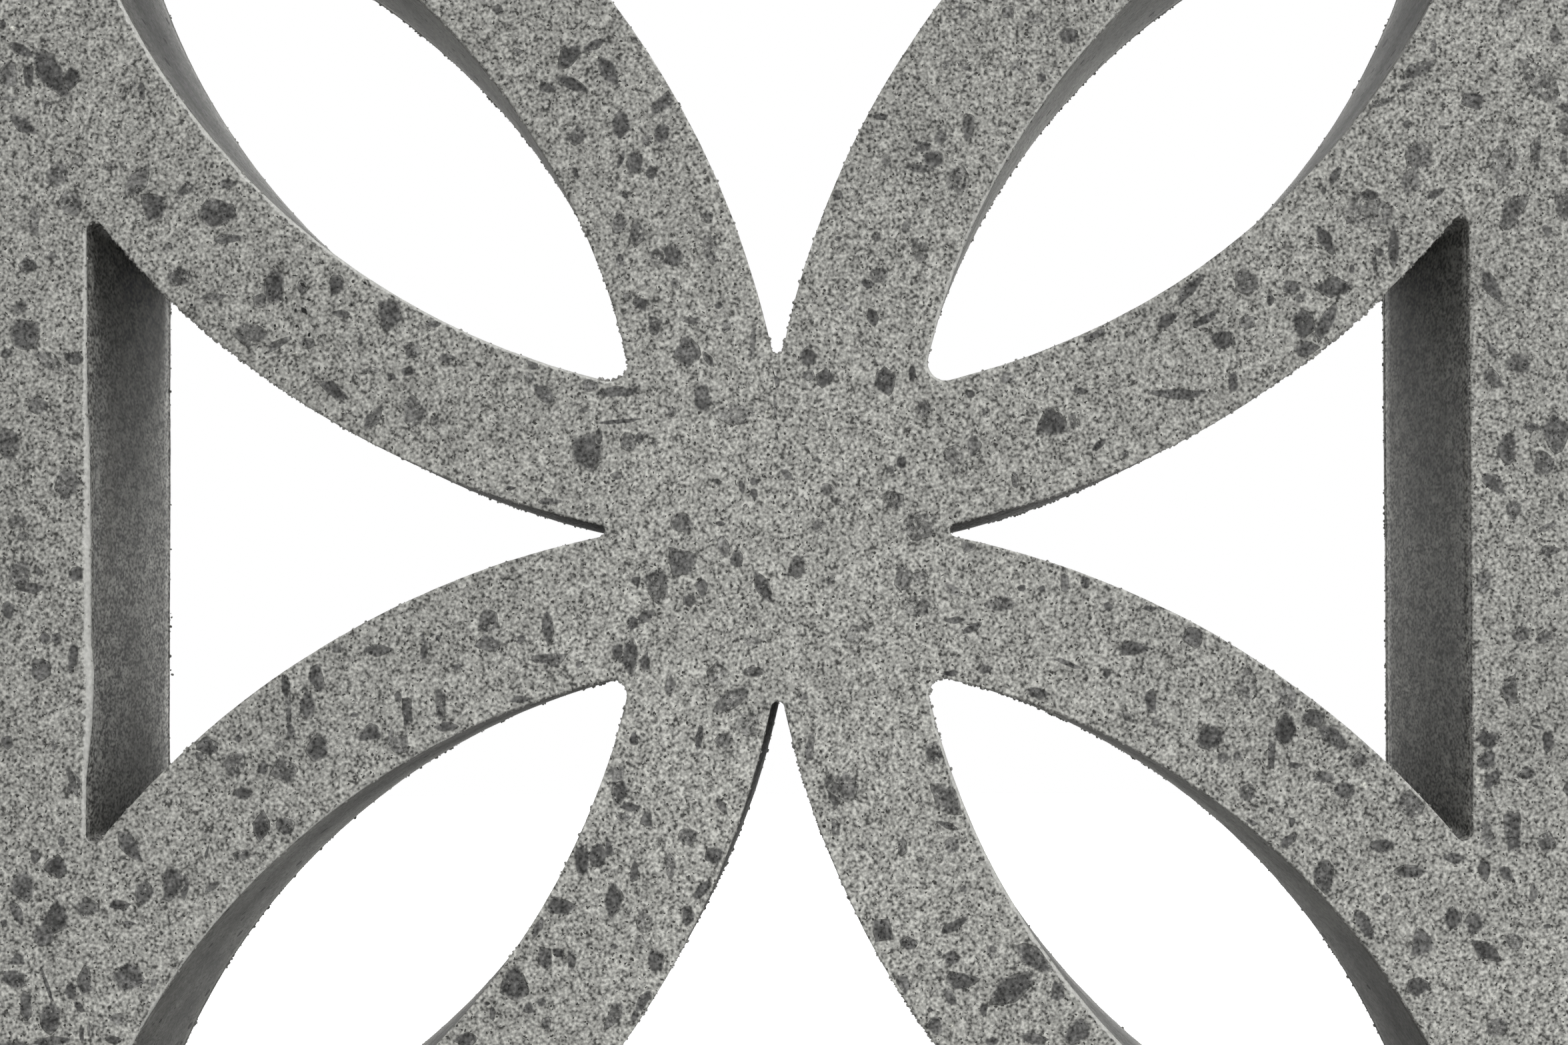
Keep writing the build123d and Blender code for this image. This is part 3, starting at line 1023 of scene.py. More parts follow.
@dataclass
class ExposedStones:
    """The crushed stones that the grinding cut through, flush with the ground faces.

    Lengths are in millimetres, and a pair is a range that a value is drawn from, unless it says otherwise.
    """

    pattern: Pattern
    camera: PhotoCamera
    materials: dict[Exposure, Material]
    proud: Pair = (0.008, 0.042)
    thickness: float = 0.35
    tones: Pair = (0.78, 1.2)
    points: int = 24
    side_counts: tuple[int, ...] = (4, 5, 5, 6, 6, 7)
    turn_shares: Pair = (0.1, 0.9)
    corner_shares: Pair = (0.86, 1.14)
    edge_shares: Pair = (0.95, 1.05)
    rounding_share: float = 0.22
    slim_share: float = 1.45
    slim_tip_shares: Pair = (1.1, 0.1)
    edge_margin: float = 0.45

    upright_half_share: float = 0.6
    upright_sway: float = 0.12
    leaning_length_share: float = 0.55
    leaning_breadth_share: float = 0.5

    per_square_mm: float = 0.021
    middle_length: float = 3.0
    length_spread: float = 0.42
    breadth_shares: Pair = (0.42, 0.95)
    bare_share: float = 0.5
    shown_share: float = 0.86
    seed: int = 29

    def corners(self, draw: random.Random, halves: Pair) -> list[Vector]:
        """The corners of a stone's cut face, in shares of its half sizes. A slim stone has two sharp tips."""
        sides = draw.choice(self.side_counts)
        turns = sorted(draw.uniform(*self.turn_shares) + side for side in range(sides))
        corners = [Vector((math.cos(math.tau * turn / sides), math.sin(math.tau * turn / sides)))
                   * draw.uniform(*self.corner_shares) for turn in turns]
        if halves[0] > self.slim_share * halves[1]:
            corners[0] = Vector(self.slim_tip_shares)
            corners[sides // 2] = -corners[0]
        return corners

    def lay(self, bm: Mesh, draw: random.Random, face: Face, middle: Pair, halves: Pair, angle: float,
            show: Exposure) -> None:
        """Lays one stone's cut face.

        Args:
            bm: The piece that is being shaped.
            draw: Where the stone's own irregularity comes from.
            face: The ground face that it lies in.
            middle: Millimetres across and up from the block's middle.
            halves: Half its length and half its breadth.
            angle: How far its length is turned up from the horizontal.
            show: How much of it is laid bare.
        """
        stone = bmesh.new()
        shade, tone = stone.verts.layers.float.new("shade"), draw.uniform(*self.tones)
        made = bmesh.ops.create_circle(stone, cap_ends=True, segments=self.points, radius=1.0,
                                       matrix=Matrix.Rotation(math.pi / 2, 4, "X"))
        corners = self.corners(draw, halves)
        cosine, sine = math.cos(angle), math.sin(angle)
        near_edge = self.pattern.clearance(*middle) < halves[0] + self.edge_margin
        level = face.value * (self.pattern.sizes.skin_depth / 2 + draw.uniform(*self.proud))
        for number, vert in enumerate(made["verts"]):
            share = number * len(corners) / self.points
            side = int(share)
            straight = corners[side].lerp(corners[(side + 1) % len(corners)], share - side)
            spot = straight.lerp(straight.normalized(), self.rounding_share) * draw.uniform(*self.edge_shares)
            along, aside = halves[0] * spot.x, halves[1] * spot.y
            across = middle[0] + along * cosine - aside * sine
            up = middle[1] + along * sine + aside * cosine
            if near_edge:
                across, up = self.pattern.kept_in(across, up, self.edge_margin)
            vert.co = (across, level, up + self.pattern.sizes.side / 2)
            vert[shade] = tone
        made["verts"][0].link_faces[0].material_index = show.value
        gather(bm, stone)

    def read(self, bm: Mesh, draw: random.Random, stones: Iterable[Stone]) -> None:
        """Lays the stones that the photograph shows on the front face."""
        sizes = self.pattern.sizes
        left, _ = self.camera.on_front(sizes, 0, 0)
        right, _ = self.camera.on_front(sizes, self.camera.frame_wide, 0)
        pixel = (right - left) / self.camera.frame_wide
        for stone in stones:
            across, up = self.camera.on_front(sizes, stone.column, stone.row)
            wide, high = stone.wide * pixel, stone.high * pixel
            if stone.lean:
                halves = (self.leaning_length_share * math.hypot(wide, high),
                          self.leaning_breadth_share * min(wide, high))
                angle = stone.lean * math.atan2(high, wide)
            else:
                halves = (self.upright_half_share * wide, self.upright_half_share * high)
                angle = draw.uniform(-self.upright_sway, self.upright_sway)
            self.lay(bm, draw, Face.FRONT, (across, up - sizes.side / 2), halves, angle, stone.show)

    def scatter(self, bm: Mesh, draw: random.Random, face: Face) -> None:
        """Lays stones at random over a ground face, apart from what the photograph shows of the front."""
        sizes = self.pattern.sizes
        for _ in range(round(sizes.side ** 2 * self.per_square_mm)):
            across = draw.uniform(-sizes.side / 2, sizes.side / 2)
            up = draw.uniform(-sizes.side / 2, sizes.side / 2)
            half = math.exp(draw.gauss(math.log(self.middle_length), self.length_spread)) / 2
            breadth = half * draw.uniform(*self.breadth_shares)
            angle = draw.uniform(0, math.pi)
            chance = draw.random()
            if self.pattern.clearance(across, up) < breadth / 2 + self.edge_margin:
                continue
            if face is Face.FRONT and self.camera.sees(sizes, across, up + sizes.side / 2):
                continue
            show = B if chance < self.bare_share else V if chance < self.shown_share else F
            self.lay(bm, draw, face, (across, up), (half, breadth), angle, show)

    def build(self, face: Face, name: str) -> bpy.types.Object:
        """Builds the stones of one ground face."""
        draw = random.Random(self.seed + int(face.value))
        bm = bmesh.new()
        shade, middle = (bm.verts.layers.float.new(label) for label in ("shade", "middle"))
        if face is Face.FRONT:
            self.read(bm, draw, STONES_SEEN)
        self.scatter(bm, draw, face)
        cuts = bm.faces[:]
        made = bmesh.ops.extrude_face_region(bm, geom=cuts, use_keep_orig=True)
        sunk = [item for item in made["geom"] if isinstance(item, bmesh.types.BMVert)]
        bmesh.ops.translate(bm, vec=(0, -face.value * self.thickness, 0), verts=sunk)
        for centre in bmesh.ops.poke(bm, faces=cuts)["verts"]:
            centre[middle] = 1.0
            centre[shade] = centre.link_edges[0].other_vert(centre)[shade]
        bmesh.ops.recalc_face_normals(bm, faces=bm.faces[:])
        return finish_piece(bm, name, [self.materials[show] for show in Exposure])


class Bench:
    """Adds shader nodes to one tree and wires them."""

    def __init__(self, tree: bpy.types.NodeTree) -> None:
        """Starts work on a tree."""
        self.tree = tree

    def add(self, kind: str, inputs: dict[str | int, object] | None = None,
            **settings: object) -> bpy.types.Node:
        """Adds a node.

        Args:
            kind: The node's type, without the word ShaderNode.
            inputs: Values or sockets for its inputs, by name or number.
            settings: Its own settings.

        Returns:
            The new node.
        """
        node = self.tree.nodes.new("ShaderNode" + kind)
        for name, value in settings.items():
            setattr(node, name, value)
        for name, value in (inputs or {}).items():
            self.feed(node.inputs[name], value)
        return node

    def feed(self, socket: Socket, value: object) -> None:
        """Links a socket into another, or sets its value."""
        if isinstance(value, Socket):
            self.tree.links.new(value, socket)
        else:
            socket.default_value = value

    def group(self, tree: bpy.types.NodeTree, values: dict[str, object]) -> bpy.types.Node:
        """Places a shared group with its own values."""
        node = self.add("Group", node_tree=tree)
        for label, value in values.items():
            node.inputs[label].default_value = value
        return node

    def math(self, operation: str, first: object, second: object) -> Socket:
        """The result of a sum on two numbers."""
        return self.add("Math", {0: first, 1: second}, operation=operation).outputs[0]

    def plus(self, first: object, second: object) -> Socket:
        """Two numbers added."""
        return self.math("ADD", first, second)

    def minus(self, first: object, second: object) -> Socket:
        """The first number less the second."""
        return self.math("SUBTRACT", first, second)

    def times(self, first: object, second: object) -> Socket:
        """Two numbers multiplied."""
        return self.math("MULTIPLY", first, second)

    def span(self, value: object, low: float, high: float, to_low: float = 0.0,
             to_high: float = 1.0) -> Socket:
        """A value moved from one range to another and kept inside it."""
        return self.add("MapRange", {0: value, 1: low, 2: high, 3: to_low, 4: to_high}).outputs[0]

    def mix(self, share: object, below: object, above: object, blend: str = "MIX") -> Socket:
        """A colour mixed from two."""
        return self.add("Mix", {0: share, 6: below, 7: above}, data_type="RGBA", blend_type=blend).outputs[2]

    def tinted(self, colour: object, tint: object) -> Socket:
        """A colour multiplied by another, or by a tone."""
        return self.mix(1.0, colour, tint, "MULTIPLY")

    def ramp(self, value: object, stops: Iterable[Pair]) -> Socket:
        """Grey tones along a value."""
        node = self.add("ValToRGB", {0: value})
        elements = node.color_ramp.elements
        stops = list(stops)
        while len(elements) < len(stops):
            elements.new(0.5)
        for element, (position, tone) in zip(elements, stops):
            element.position, element.color = position, (tone, tone, tone, 1)
        return node.outputs["Color"]

    def place(self) -> Socket:
        """The place on the block, in metres."""
        return self.add("TexCoord").outputs["Object"]

    def attribute(self, name: str) -> Socket:
        """A value that the mesh holds at its points."""
        return self.add("Attribute", attribute_name=name).outputs["Fac"]

    def length(self, vector: Socket) -> Socket:
        """The length of a vector."""
        return self.add("VectorMath", {0: vector}, operation="LENGTH").outputs["Value"]

    def away(self, place: Socket, height: float) -> Socket:
        """How far a place is, across and up, from the block's upright axis at a height, in metres."""
        spot = self.add("VectorMath", {0: place, 1: (1, 0, 1), 2: (0, 0, -height)}, operation="MULTIPLY_ADD")
        return self.length(spot.outputs[0])

    def noise(self, where: Socket, scale: object, detail: float = 2.0, roughness: float = 0.5) -> Socket:
        """Smooth noise from 0 to 1, about a half on average."""
        return self.add("TexNoise", {"Vector": where, "Scale": scale, "Detail": detail,
                                     "Roughness": roughness}).outputs[0]

    def ripple(self, where: Socket, scale: object, height: object, detail: float = 2.0,
               roughness: float = 0.5) -> Socket:
        """Smooth noise about 0, as high as is given from its lowest to its highest."""
        return self.times(self.minus(self.noise(where, scale, detail, roughness), 0.5), height)

    def specks(self, where: Socket, scale: object) -> tuple[Socket, Socket, Socket]:
        """Scattered specks.

        Args:
            where: The place that is looked at.
            scale: Specks to the metre.

        Returns:
            How far the nearest speck is, in shares of their spacing, and two numbers of its own from 0 to 1.
        """
        cells = self.add("TexVoronoi", {"Vector": where, "Scale": scale}, feature="F1")
        own = self.add("SeparateColor", {0: cells.outputs["Color"]}).outputs
        return cells.outputs["Distance"], own["Red"], own["Green"]


def new_group(name: str, values: dict[str, object],
              outputs: dict[str, str]) -> tuple[Bench, Sockets, Sockets]:
    """Starts a shader node group.

    Args:
        name: The group's name.
        values: Each input's usual value, a number, a direction or a colour.
        outputs: Each output's kind.

    Returns:
        A bench on the group, the inputs as its nodes read them, and the outputs to feed.
    """
    tree = bpy.data.node_groups.new(name, "ShaderNodeTree")
    for label, value in values.items():
        kind = "NodeSocketFloat"
        if isinstance(value, tuple):
            kind = "NodeSocketVector" if len(value) == 3 else "NodeSocketColor"
        tree.interface.new_socket(label, in_out="INPUT", socket_type=kind).default_value = value
    for label, kind in outputs.items():
        tree.interface.new_socket(label, in_out="OUTPUT", socket_type="NodeSocket" + kind)
    return Bench(tree), tree.nodes.new("NodeGroupInput").outputs, tree.nodes.new("NodeGroupOutput").inputs


def new_material(name: str) -> tuple[Material, Bench, bpy.types.Node]:
    """A material with nodes, a bench on them, and its shader."""
    material = bpy.data.materials.new(name)
    material.use_nodes = True
    return material, Bench(material.node_tree), material.node_tree.nodes["Principled BSDF"]


@dataclass(frozen=True)
class SandMix:
    """The sand and cement paste that every surface is made of, in soft lighter and darker patches. A finish
    can
    add painted light and shade: darker away from a middle point, lighter low down, and darker towards the
    block's corners.

    Scales are lumps to the metre, reaches and heights are in metres, and the rest are shares or plain tones.
    """

    tones: tuple[Pair, ...] = (
        (0.28, 0.20), (0.36, 0.45), (0.43, 0.80), (0.51, 1.12), (0.59, 1.40), (0.68, 1.95))
    turn: Triple = (0.5, 0.35, 0.8)
    fine_share: float = 0.7
    fine_noise: Pair = (0.6, 0.7)
    coarse_scale_share: float = 0.31
    coarse_noise: Pair = (1.0, 0.6)
    bend: float = 0.0009
    bend_scale: float = 1500.0
    grain_size_shares: Pair = (0.6, 1.5)
    grain_edge: float = 0.12
    grain_depth: float = 0.8
    spark: tuple[float, ...] = (0.60, 0.60, 0.57, 1.0)
    spark_chance: float = 0.93
    patch_noise: Pair = (3.0, 0.6)

    # Painted light: the colour darkens away from a point at this height and lightens low down, and painted
    # shade darkens it towards the block's corners.
    painted_light_height: float = 0.12
    painted_light_reach: Pair = (0.02, 0.09)
    painted_light_loss: float = 0.17
    painted_low_light_reach: Pair = (0.07, 0.12)
    painted_low_light_gain: float = 0.12
    painted_corner_shade_reach: Pair = (0.095, 0.145)
    painted_corner_shade_loss: float = 0.36

    def build(self) -> bpy.types.NodeTree:
        """Builds the shared group.

        Returns:
            A group that gives the colour, the sand's plain tone, a mask of the dark grains, and the height.
        """
        values = {
            "Paste": (0.345, 0.344, 0.321, 1.0), "Dark Grain": (0.055, 0.054, 0.05, 1.0),
            "Grain Scale": 1800.0, "Dot Scale": 1250.0, "Dot Size": 0.26, "Dot Share": 0.6,
            "Contrast": 1.06, "Sparkle": 0.8,
            "Patch Scale": 130.0, "Cloud Scale": 26.0, "Patch Depth": 0.25, "Cloud Depth": 0.2,
            "Stretch": (1.0, 1.0, 1.0), "Fade": 0.0, "Painted Corner Shade": 0.0,
        }
        outputs = {"Colour": "Color", "Tone": "Float", "Dots": "Float", "Height": "Float"}
        bench, given, put = new_group("sand_and_paste", values, outputs)
        place = bench.place()
        mapping = bench.add("Mapping", {"Vector": place, "Scale": given["Stretch"], "Rotation": self.turn})
        where = mapping.outputs[0]

        fine = bench.noise(where, given["Grain Scale"], *self.fine_noise)
        coarse_scale = bench.times(given["Grain Scale"], self.coarse_scale_share)
        coarse = bench.noise(where, coarse_scale, *self.coarse_noise)
        grain = bench.plus(bench.times(fine, self.fine_share), bench.times(coarse, 1 - self.fine_share))
        spread = bench.times(bench.minus(grain, 0.5), given["Contrast"])
        tone = bench.ramp(bench.plus(spread, 0.5), self.tones)

        push = bench.add("TexNoise", {"Vector": where, "Scale": self.bend_scale, "Detail": 1.0})
        bent = bench.add("VectorMath", {0: push.outputs["Color"], 1: (self.bend,) * 3, 2: where},
                         operation="MULTIPLY_ADD")
        distance, chance, growth = bench.specks(bent.outputs[0], given["Dot Scale"])
        size = bench.times(given["Dot Size"], bench.span(growth, 0, 1, *self.grain_size_shares))
        grains = bench.span(bench.minus(size, distance), 0.0, self.grain_edge)
        dots = bench.times(grains, bench.math("LESS_THAN", chance, given["Dot Share"]))
        sparks = bench.times(grains, bench.math("GREATER_THAN", chance, self.spark_chance))

        swing = bench.plus(bench.ripple(where, given["Patch Scale"], given["Patch Depth"], *self.patch_noise),
                           bench.ripple(where, given["Cloud Scale"], given["Cloud Depth"]))
        # Painted light and shade: darker away from a middle point and lighter low down, scaled by the
        # finish's input for it.
        outer = bench.span(bench.away(place, self.painted_light_height), *self.painted_light_reach, 0, -self.painted_light_loss)
        low = bench.span(bench.add("SeparateXYZ", {0: place}).outputs["Z"], *self.painted_low_light_reach, self.painted_low_light_gain, 0)
        swing = bench.plus(swing, bench.times(bench.plus(outer, low), given["Fade"]))
        # Painted shade: the colour darkens towards the block's corners, scaled by the finish's input for it.
        corner = bench.span(bench.away(place, SIZES.side / 2 * MM), *self.painted_corner_shade_reach, 0, -self.painted_corner_shade_loss)
        swing = bench.plus(swing, bench.times(corner, given["Painted Corner Shade"]))

        colour = bench.tinted(bench.tinted(given["Paste"], bench.plus(swing, 1.0)), tone)
        colour = bench.mix(bench.times(sparks, given["Sparkle"]), colour, self.spark)
        bench.feed(put["Colour"], bench.mix(dots, colour, given["Dark Grain"]))
        bench.feed(put["Tone"], tone)
        bench.feed(put["Dots"], dots)
        bench.feed(put["Height"], bench.minus(grain, bench.times(dots, self.grain_depth)))
        return bench.tree


@dataclass(frozen=True)
class AirHoles:
    """The small air holes that a cast surface shows, as a mask that the finishes use to sink the bump and to
    lay painted shade in the holes. Scales are to the metre, and the rest are shares.
    """

    ragged_scale: float = 900.0
    ragged_depth: float = 0.16
    size_shares: Pair = (0.3, 1.3)
    rim: float = 0.04

    def build(self) -> bpy.types.NodeTree:
        """Builds the shared group.

        Returns:
            A group that gives a mask of the holes.
        """
        values = {"Scale": 160.0, "Size": 0.14, "Share": 0.2, "Stretch": (1.0, 1.0, 1.0)}
        bench, given, put = new_group("air_holes", values, {"Holes": "Float"})
        stretched = bench.add("VectorMath", {0: bench.place(), 1: given["Stretch"]}, operation="MULTIPLY")
        where = stretched.outputs[0]
        distance, chance, growth = bench.specks(where, given["Scale"])
        size = bench.times(given["Size"], bench.span(growth, 0, 1, *self.size_shares))
        ragged = bench.ripple(where, self.ragged_scale, self.ragged_depth)
        near = bench.minus(bench.plus(size, ragged), distance)
        chosen = bench.math("LESS_THAN", chance, given["Share"])
        bench.feed(put["Holes"], bench.times(bench.span(near, 0.0, self.rim), chosen))
        return bench.tree


@dataclass(frozen=True)
class Relief:
    """How every concrete surface takes the light, beside its colour. The grains' height is in millimetres."""

    specular: float = 0.25
    grain_height: float = 0.03
    strength: float = 0.8

    def dress(self, bench: Bench, shader: bpy.types.Node, colour: Socket, height: Socket,
              roughness: float) -> None:
        """Gives a shader its colour, its roughness and its fine relief."""
        bench.feed(shader.inputs["Base Color"], colour)
        shader.inputs["Roughness"].default_value = roughness
        shader.inputs["Specular IOR Level"].default_value = self.specular
        bump = bench.add("Bump", {"Height": height, "Distance": self.grain_height * MM,
                                  "Strength": self.strength})
        bench.feed(shader.inputs["Normal"], bump.outputs[0])


RELIEF = Relief()


@dataclass(frozen=True)
class PasteSkinAndHighlight:
    """The smooth pale skin of paste along an arris, as far as the mesh's "across" value says; partly real
    paste and partly painted highlight where the arris faces the light.
    """

    # Pale paste colour, lighter than the ground face, which also paints the highlight on arrises facing the
    # light.
    colour: Triple = (0.57, 0.57, 0.54)
    ragged_scale: float = 1100.0
    ragged_noise: Pair = (2.0, 0.7)
    ragged_depth: float = 1.3
    edge: Pair = (0.12, 0.34)
    sand_share: float = 0.22

    def over(self, bench: Bench, colour: Socket, tone: Socket) -> Socket:
        """Lays the pale skin and its painted highlight over a colour, with a little of the sand's tone in it.
        """
        ragged = bench.ripple(bench.place(), self.ragged_scale, self.ragged_depth, *self.ragged_noise)
        reach = bench.plus(bench.attribute("across"), ragged)
        softened = bench.plus(bench.times(tone, self.sand_share), 1 - self.sand_share)
        return bench.mix(bench.span(reach, *self.edge), colour, bench.tinted((*self.colour, 1), softened))


@dataclass(frozen=True)
class Stain:
    """The brownish stains that run down a cast wall. Scales are lumps to the metre."""

    colour: Triple = (0.075, 0.07, 0.058)
    scales: Triple = (60.0, 60.0, 22.0)
    noise: Pair = (4.0, 0.6)
    edge: Pair = (0.5, 0.75)
    depth: float = 0.35

    def over(self, bench: Bench, colour: Socket) -> Socket:
        """Lays the stain over a colour."""
        where = bench.add("Mapping", {"Vector": bench.place(), "Scale": self.scales}).outputs[0]
        soil = bench.span(bench.noise(where, 1.0, *self.noise), *self.edge, 0, self.depth)
        return bench.mix(soil, colour, (*self.colour, 1))


@dataclass(frozen=True)
class ConcreteFinish:
    """A concrete surface: the colour of its paste, its grains and its holes, and any painted light and shade
    it takes.
    """

    name: str
    paste: Triple
    dark: Triple
    contrast: float = 1.18
    dot_share: float = 0.6
    dot_size: float = 0.26
    sparkle: float = 0.8
    patch_scale: float = 130.0
    patch_depth: float = 0.25
    cloud_scale: float = 26.0
    cloud_depth: float = 0.2
    stretch: Triple = (1.0, 1.0, 1.0)
    # Shares of the painted light falloff and of the painted shade towards the block's corners.
    painted_light_falloff: float = 0.0
    painted_corner_shade: float = 0.0
    hole_share: float = 0.0
    hole_scale: float = 160.0
    hole_size: float = 0.16
    hole_depth: float = 6.0
    # The painted shade at the bottom of the air holes.
    painted_hole_shade: Triple = (0.028, 0.027, 0.025)
    stain: Stain | None = None
    skin: PasteSkinAndHighlight | None = None
    roughness: float = 0.86

    def sand(self, bench: Bench, groups: Groups) -> bpy.types.Node:
        """Places the sand group with this finish's own values."""
        return bench.group(groups["sand"], {
            "Paste": (*self.paste, 1), "Dark Grain": (*self.dark, 1), "Contrast": self.contrast,
            "Dot Share": self.dot_share, "Dot Size": self.dot_size, "Sparkle": self.sparkle,
            "Patch Scale": self.patch_scale, "Patch Depth": self.patch_depth, "Cloud Scale": self.cloud_scale,
            "Cloud Depth": self.cloud_depth, "Stretch": self.stretch, "Fade": self.painted_light_falloff,
            "Painted Corner Shade": self.painted_corner_shade})

    def make(self, groups: Groups) -> Material:
        """Builds the material from the shared groups."""
        material, bench, shader = new_material(self.name)
        sand = self.sand(bench, groups)
        colour, height = sand.outputs["Colour"], sand.outputs["Height"]
        if self.skin:
            colour = self.skin.over(bench, colour, sand.outputs["Tone"])
        if self.stain:
            colour = self.stain.over(bench, colour)
        if self.hole_share:
            values = {"Scale": self.hole_scale, "Size": self.hole_size, "Share": self.hole_share,
                      "Stretch": self.stretch}
            holes = bench.group(groups["holes"], values).outputs["Holes"]
            # Painted shade: the air holes are darkened, standing in for the shadow inside them; the bump
            # sinks them too.
            colour = bench.mix(holes, colour, (*self.painted_hole_shade, 1))
            height = bench.minus(height, bench.times(holes, self.hole_depth))
        RELIEF.dress(bench, shader, colour, height, self.roughness)
        return material


# The ground face and its arrises take the painted light falloff: darker away from the middle, lighter low
# down.
GROUND = ConcreteFinish("ground_concrete", (0.366, 0.365, 0.341), (0.05, 0.049, 0.045), patch_depth=0.4,
                        painted_light_falloff=1.0, hole_share=0.06, hole_scale=260.0, hole_size=0.13)
# The arrises' finish carries the pale skin with its painted highlight.
ARRIS_PASTE_AND_HIGHLIGHT = ConcreteFinish("arris_paste_and_highlight", (0.362, 0.361, 0.337), (0.07, 0.068, 0.062), painted_light_falloff=1.0,
                             skin=PasteSkinAndHighlight())
# The three-sided and the petal walls are one cast concrete; their pastes differ in tone to paint the light
# that reaches each kind of opening, the three-sided walls darker.
CAST = ConcreteFinish("cast_concrete", (0.177, 0.176, 0.164), (0.045, 0.044, 0.041), contrast=1.65,
                      dot_share=0.5, dot_size=0.24, sparkle=0.3, patch_scale=420.0, patch_depth=1.65,
                      cloud_scale=70.0, cloud_depth=0.6, hole_share=0.25, hole_scale=190.0, stain=Stain(),
                      stretch=(1.0, 0.3, 1.0))
# Painted lighter than the three-sided walls' paste for the light reaching the petals, with painted shade
# towards the block's corners.
PETAL_CAST_PAINTED_LIGHTER = replace(CAST, name="petal_cast_concrete_painted_lighter", paste=(0.252, 0.251, 0.235), contrast=0.6,
                     dot_share=0.3, patch_scale=150.0, patch_depth=1.1, hole_share=0.4, hole_scale=260.0,
                     hole_size=0.2, painted_corner_shade=1.0)
OUTER_CAST = replace(CAST, name="outer_cast_concrete", paste=(0.27, 0.269, 0.252), contrast=0.75,
                     dot_share=0.3, patch_scale=160.0, patch_depth=0.5, cloud_scale=22.0, cloud_depth=0.5,
                     stretch=(1.0, 0.7, 1.0))
CRUMB = ConcreteFinish("crumb_concrete", (0.26, 0.258, 0.242), (0.07, 0.069, 0.064), contrast=0.8)
FINISHES = {Finish.GROUND: GROUND, Finish.ARRIS: ARRIS_PASTE_AND_HIGHLIGHT, Finish.CAST: CAST, Finish.PETAL: PETAL_CAST_PAINTED_LIGHTER,
            Finish.OUTER: OUTER_CAST}


@dataclass(frozen=True)
class StoneFinish:
    """The cut face of a stone: how dark it is beside the paste, and how far paste still covers it.

    The mesh says how near the stone's middle a place is, and how light or dark that stone is. Scales are
    lumps to the metre, and a noise is its detail and roughness.
    """

    name: str
    tint: Triple
    veil: float
    seam: float = 0.45
    nibble: float = 0.8
    roughness: float = 0.8

    streak_scale: float = 520.0
    streak_noise: Pair = (3.0, 0.65)
    streak_tones: tuple[Pair, ...] = ((0.3, 0.55), (0.5, 1.0), (0.7, 1.6))
    plain_share: float = 0.1
    nibble_scale: float = 1500.0
    nibble_noise: Pair = (2.0, 0.7)
    rim: Pair = (-0.08, 0.22)
    film_scale: float = 1100.0
    film_noise: Pair = (3.0, 0.7)
    film_edge: Pair = (0.66, 0.80)
    film_swing: float = 0.36
    seam_start: Pair = (-0.12, -0.04)
    seam_end: Pair = (0.18, 0.05)
    seam_scale: float = 260.0
    seam_edge: Pair = (0.52, 0.6)
    seam_colour: Triple = (0.03, 0.03, 0.028)

    def body(self, bench: Bench, where: Socket, sand: Socket, ground: ConcreteFinish) -> Socket:
        """The stone's own colour, streaked, with a trace of the sand ground into it."""
        streaks = bench.ramp(bench.noise(where, self.streak_scale, *self.streak_noise), self.streak_tones)
        tint = bench.tinted((*self.tint, 1), bench.times(streaks, bench.attribute("shade")))
        return bench.tinted(bench.mix(self.plain_share, sand, (*ground.paste, 1)), tint)

    def make(self, groups: Groups, ground: ConcreteFinish) -> Material:
        """Builds the material from the shared groups.

        Args:
            groups: The shared node groups.
            ground: The finish of the concrete round the stone.

        Returns:
            The new material.
        """
        material, bench, shader = new_material(self.name)
        where = bench.place()
        sand = ground.sand(bench, groups)
        body = self.body(bench, where, sand.outputs["Colour"], ground)
        nibble = bench.ripple(where, self.nibble_scale, self.nibble, *self.nibble_noise)
        inward = bench.plus(bench.attribute("middle"), nibble)
        thin, thick = (edge - self.film_swing * self.veil for edge in self.film_edge)
        film = bench.span(bench.noise(where, self.film_scale, *self.film_noise), thin, thick)
        shown = bench.times(bench.span(inward, *self.rim), bench.minus(1.0, film))
        colour = bench.mix(shown, sand.outputs["Colour"], body)
        beside = bench.times(bench.span(inward, *self.seam_start), bench.span(inward, *self.seam_end))
        gaping = bench.span(bench.noise(where, self.seam_scale, 1.0), *self.seam_edge, 0.0, self.seam)
        colour = bench.mix(bench.times(beside, gaping), colour, (*self.seam_colour, 1))
        RELIEF.dress(bench, shader, colour, sand.outputs["Height"], self.roughness)
        return material


STONE_FINISHES = {
    Exposure.BARE: StoneFinish("bare_stone", (0.29, 0.29, 0.3), 0.06, 0.7, 0.45),
    Exposure.VEILED: StoneFinish("veiled_stone", (0.4, 0.4, 0.41), 0.24, 0.7, 0.6),
    Exposure.FAINT: StoneFinish("faint_stone", (0.52, 0.52, 0.53), 0.45, 0.75),
    Exposure.QUARTZ: StoneFinish("quartz_grain", (1.45, 1.45, 1.42), 0.0, 0.0, roughness=0.6),
    # An open pit is a flat patch painted near black, standing in for the shade inside the hole.
    Exposure.PIT: StoneFinish("painted_pit_shade", (0.03, 0.03, 0.03), 0.0, 0.0),
}


